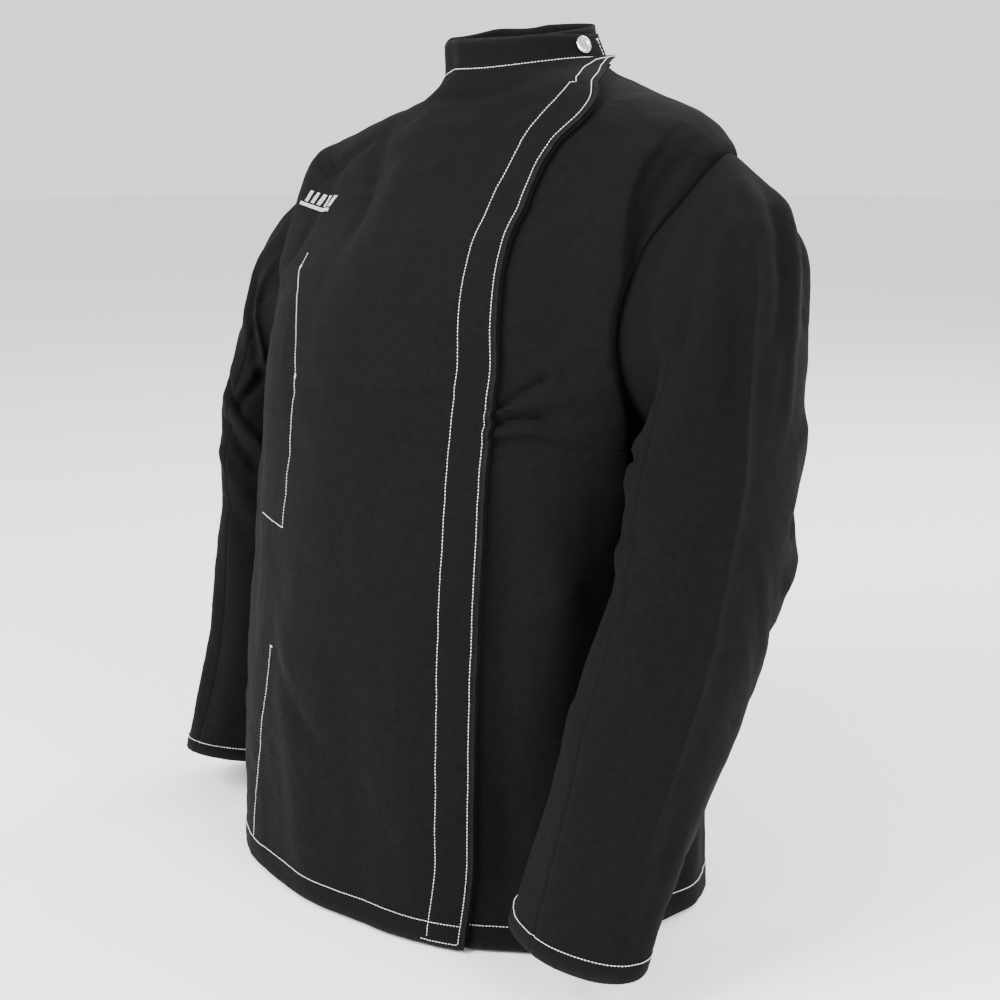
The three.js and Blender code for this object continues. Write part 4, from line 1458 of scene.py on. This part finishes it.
# %% Snap parts
SNAP_INSET = 18
SNAP_HEIGHTS = (-78, -190, -325, -465, -620)
SNAP_SIDES = 48
STUD = [(0, 0.4), (5.0, 0.4), (5.5, 0.65), (5.0, 0.9), (2.6, 0.95), (1.9, 1.1), (2.05, 1.4),
        (1.6, 1.6), (0, 1.6)]
SOCKET = [(0, 2.3), (2.8, 2.3), (3.1, 2.1), (4.6, 2.0), (5.6, 2.3), (5.7, 2.8), (5.2, 3.1), (0, 3.1)]
COLLAR_STUD = [(0, 0.7), (5.0, 0.7), (5.4, 0.95), (5.0, 1.2), (2.8, 1.3), (2.1, 1.5), (2.3, 1.9),
               (1.8, 2.2), (0, 2.2)]
COLLAR_SOCKET = [(0, 2.8), (3.0, 2.8), (3.3, 2.6), (4.8, 2.5), (5.4, 2.9), (5.4, 3.5), (5.0, 3.9), (0, 3.9)]
COLLAR_CAP = [(0, 7.4), (7.2, 7.4), (7.75, 7.7), (7.85, 8.2), (7.4, 8.75), (6.5, 9.0), (5.6, 8.85),
              (4.9, 8.3), (4.2, 8.0), (2.2, 7.85), (0, 7.8)]


def turned_piece(name, profile, foot, axis, where, cad_node):
    """A profile spun round an axis: rings of vertices, closed by a fan at each pole."""
    line = np.array(profile, float)
    spots = np.linspace(0, len(line) - 1, 4 * len(line))
    shape = from_table([[k, *row] for k, row in enumerate(line)], spots)[:, 1:-1]
    axis = unit(np.asarray(axis, float))
    side = unit(np.cross(axis, (0.3, 0.2, 1.0)))
    other = np.cross(axis, side)
    angles = np.linspace(0, 2 * np.pi, SNAP_SIDES, endpoint=False)
    round_way = side * np.cos(angles)[:, None] + other * np.sin(angles)[:, None]
    rings = foot + shape[0][:, None, None] * round_way[None] + shape[1][:, None, None] * axis
    poles = foot + np.array([line[0, 1], line[-1, 1]])[:, None] * axis
    vertices = np.concatenate([rings.reshape(-1, 3), poles]) * MM
    number = rings.shape[0]
    here = np.arange(SNAP_SIDES)
    following = np.roll(here, -1)
    levels = np.arange(number - 1)[:, None] * SNAP_SIDES
    bands = [here + levels, following + levels, following + levels + SNAP_SIDES, here + levels + SNAP_SIDES]
    last, pole = (number - 1) * SNAP_SIDES, np.full(SNAP_SIDES, number * SNAP_SIDES)
    faces = (np.stack(bands, -1).reshape(-1, 4).tolist() + np.stack([following, here, pole], 1).tolist()
             + np.stack([here + last, following + last, pole + 1], 1).tolist())
    mesh = bpy.data.meshes.new(name)
    mesh.from_pydata(vertices.tolist(), [], faces)
    shaped = bmesh.new()
    shaped.from_mesh(mesh)
    bmesh.ops.recalc_face_normals(shaped, faces=shaped.faces)
    shaped.to_mesh(mesh)
    shaped.free()
    mesh.shade_smooth()
    mesh.set_sharp_from_angle(angle=math.radians(50))
    piece = bpy.data.objects.new(name, mesh)
    bpy.context.scene.collection.objects.link(piece)
    dress(piece, nickel)
    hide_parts(cad_node)
    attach(piece, where)
    return piece


def girth_per_degree(z, degrees):
    """Length in mm of one degree round the body."""
    return float(np.linalg.norm(body(z, degrees + 0.5) - body(z, degrees - 0.5)))


SOCKET_BODIES = ("collar_corner", "collar_corner", "jacket_body", "hem_corner", "hem_corner")
for number, (z, socket_body) in enumerate(zip(SNAP_HEIGHTS, SOCKET_BODIES), 1):
    edge_at = float(edge_angle(z))
    at = edge_at - SNAP_INSET / girth_per_degree(z, edge_at)
    lift = float(body_lift(np.array(z, float), np.array(at))[0])
    axis = body_normal(np.array(z, float), np.array(at))
    foot = body(z, at) + axis * lift
    for part, profile, owner in (("stud", STUD, "jacket_body"), ("socket", SOCKET, socket_body)):
        turned_piece(f"placket_{part}_{number}_nickel", profile, foot, axis, owner,
                     f"placket_{part}_{number}")

COLLAR_SNAP_ANGLE, COLLAR_SNAP_Z = 85.0, 5.0
snap_share = (COLLAR_SNAP_Z - float(neck_seam(COLLAR_SNAP_ANGLE))) / COLLAR_HEIGHT
collar_foot, collar_axis = collar_line(np.array([COLLAR_SNAP_ANGLE]), np.array([snap_share]))
for part, profile, owner in (("stud", COLLAR_STUD, "jacket_body"),
                             ("socket", COLLAR_SOCKET, "collar_corner"),
                             ("cap", COLLAR_CAP, "collar_corner")):
    turned_piece(f"collar_snap_{part}_nickel", profile, collar_foot[0], collar_axis[0], owner,
                 f"collar_snap_{part}")

# %% [markdown]
# Floor and light
#
# The jacket stands over a plain pale floor. Three large soft lamps light it: a wide one in front and
# above, one from the wearer's left that opens up the near sleeve, and one behind that draws the
# shoulder line. Black cloth shows its folds only in the sheen of a large light.

# %% Stage
FLOOR_GAP = 0.004
FLOOR_RADIUS, FLOOR_SIDES = 14, 64
WORLD_STRENGTH = 1.6
floor_mesh = bpy.data.meshes.new("floor")
floor_turn = np.linspace(0, 2 * math.pi, FLOOR_SIDES, endpoint=False)
floor_ring = [(FLOOR_RADIUS * math.cos(a), FLOOR_RADIUS * math.sin(a), 0) for a in floor_turn]
floor_mesh.from_pydata(floor_ring, [], [tuple(range(FLOOR_SIDES))])
floor = bpy.data.objects.new("floor", floor_mesh)
floor.location = (0, 0, cad_low.z - FLOOR_GAP)
bpy.context.scene.collection.objects.link(floor)
floor_paint, _ = new_material("pale_floor_paint", Base_Color=linear("#f2f2f1"), Roughness=0.8)
floor_mesh.materials.append(floor_paint)

world = bpy.data.worlds.new("studio")
bpy.context.scene.world = world
world.use_nodes = True
world.node_tree.nodes["Background"].inputs["Color"].default_value = linear("#f4f5f6")
world.node_tree.nodes["Background"].inputs["Strength"].default_value = WORLD_STRENGTH


def soft_lamp(name, place, target, size, power):
    """A square area lamp that faces a point."""
    data = bpy.data.lights.new(name, "AREA")
    data.size = size
    data.energy = power
    lamp = bpy.data.objects.new(name, data)
    lamp.location = place
    lamp.rotation_euler = (Vector(target) - Vector(place)).to_track_quat("-Z", "Y").to_euler()
    bpy.context.scene.collection.objects.link(lamp)


CHEST = (0, -0.1, -0.35)
soft_lamp("front_lamp", (-0.4, -2.6, 1.3), CHEST, 1.6, 260)
soft_lamp("left_lamp", (2.8, -0.6, 0.9), CHEST, 1.4, 150)
soft_lamp("back_lamp", (0.3, 2.4, 1.9), CHEST, 1.5, 110)
print("stage: floor, world and 3 lamps")

# %% Sizes and table
print("CAD box", [round(x, 3) for x in (*cad_low, *cad_high)])
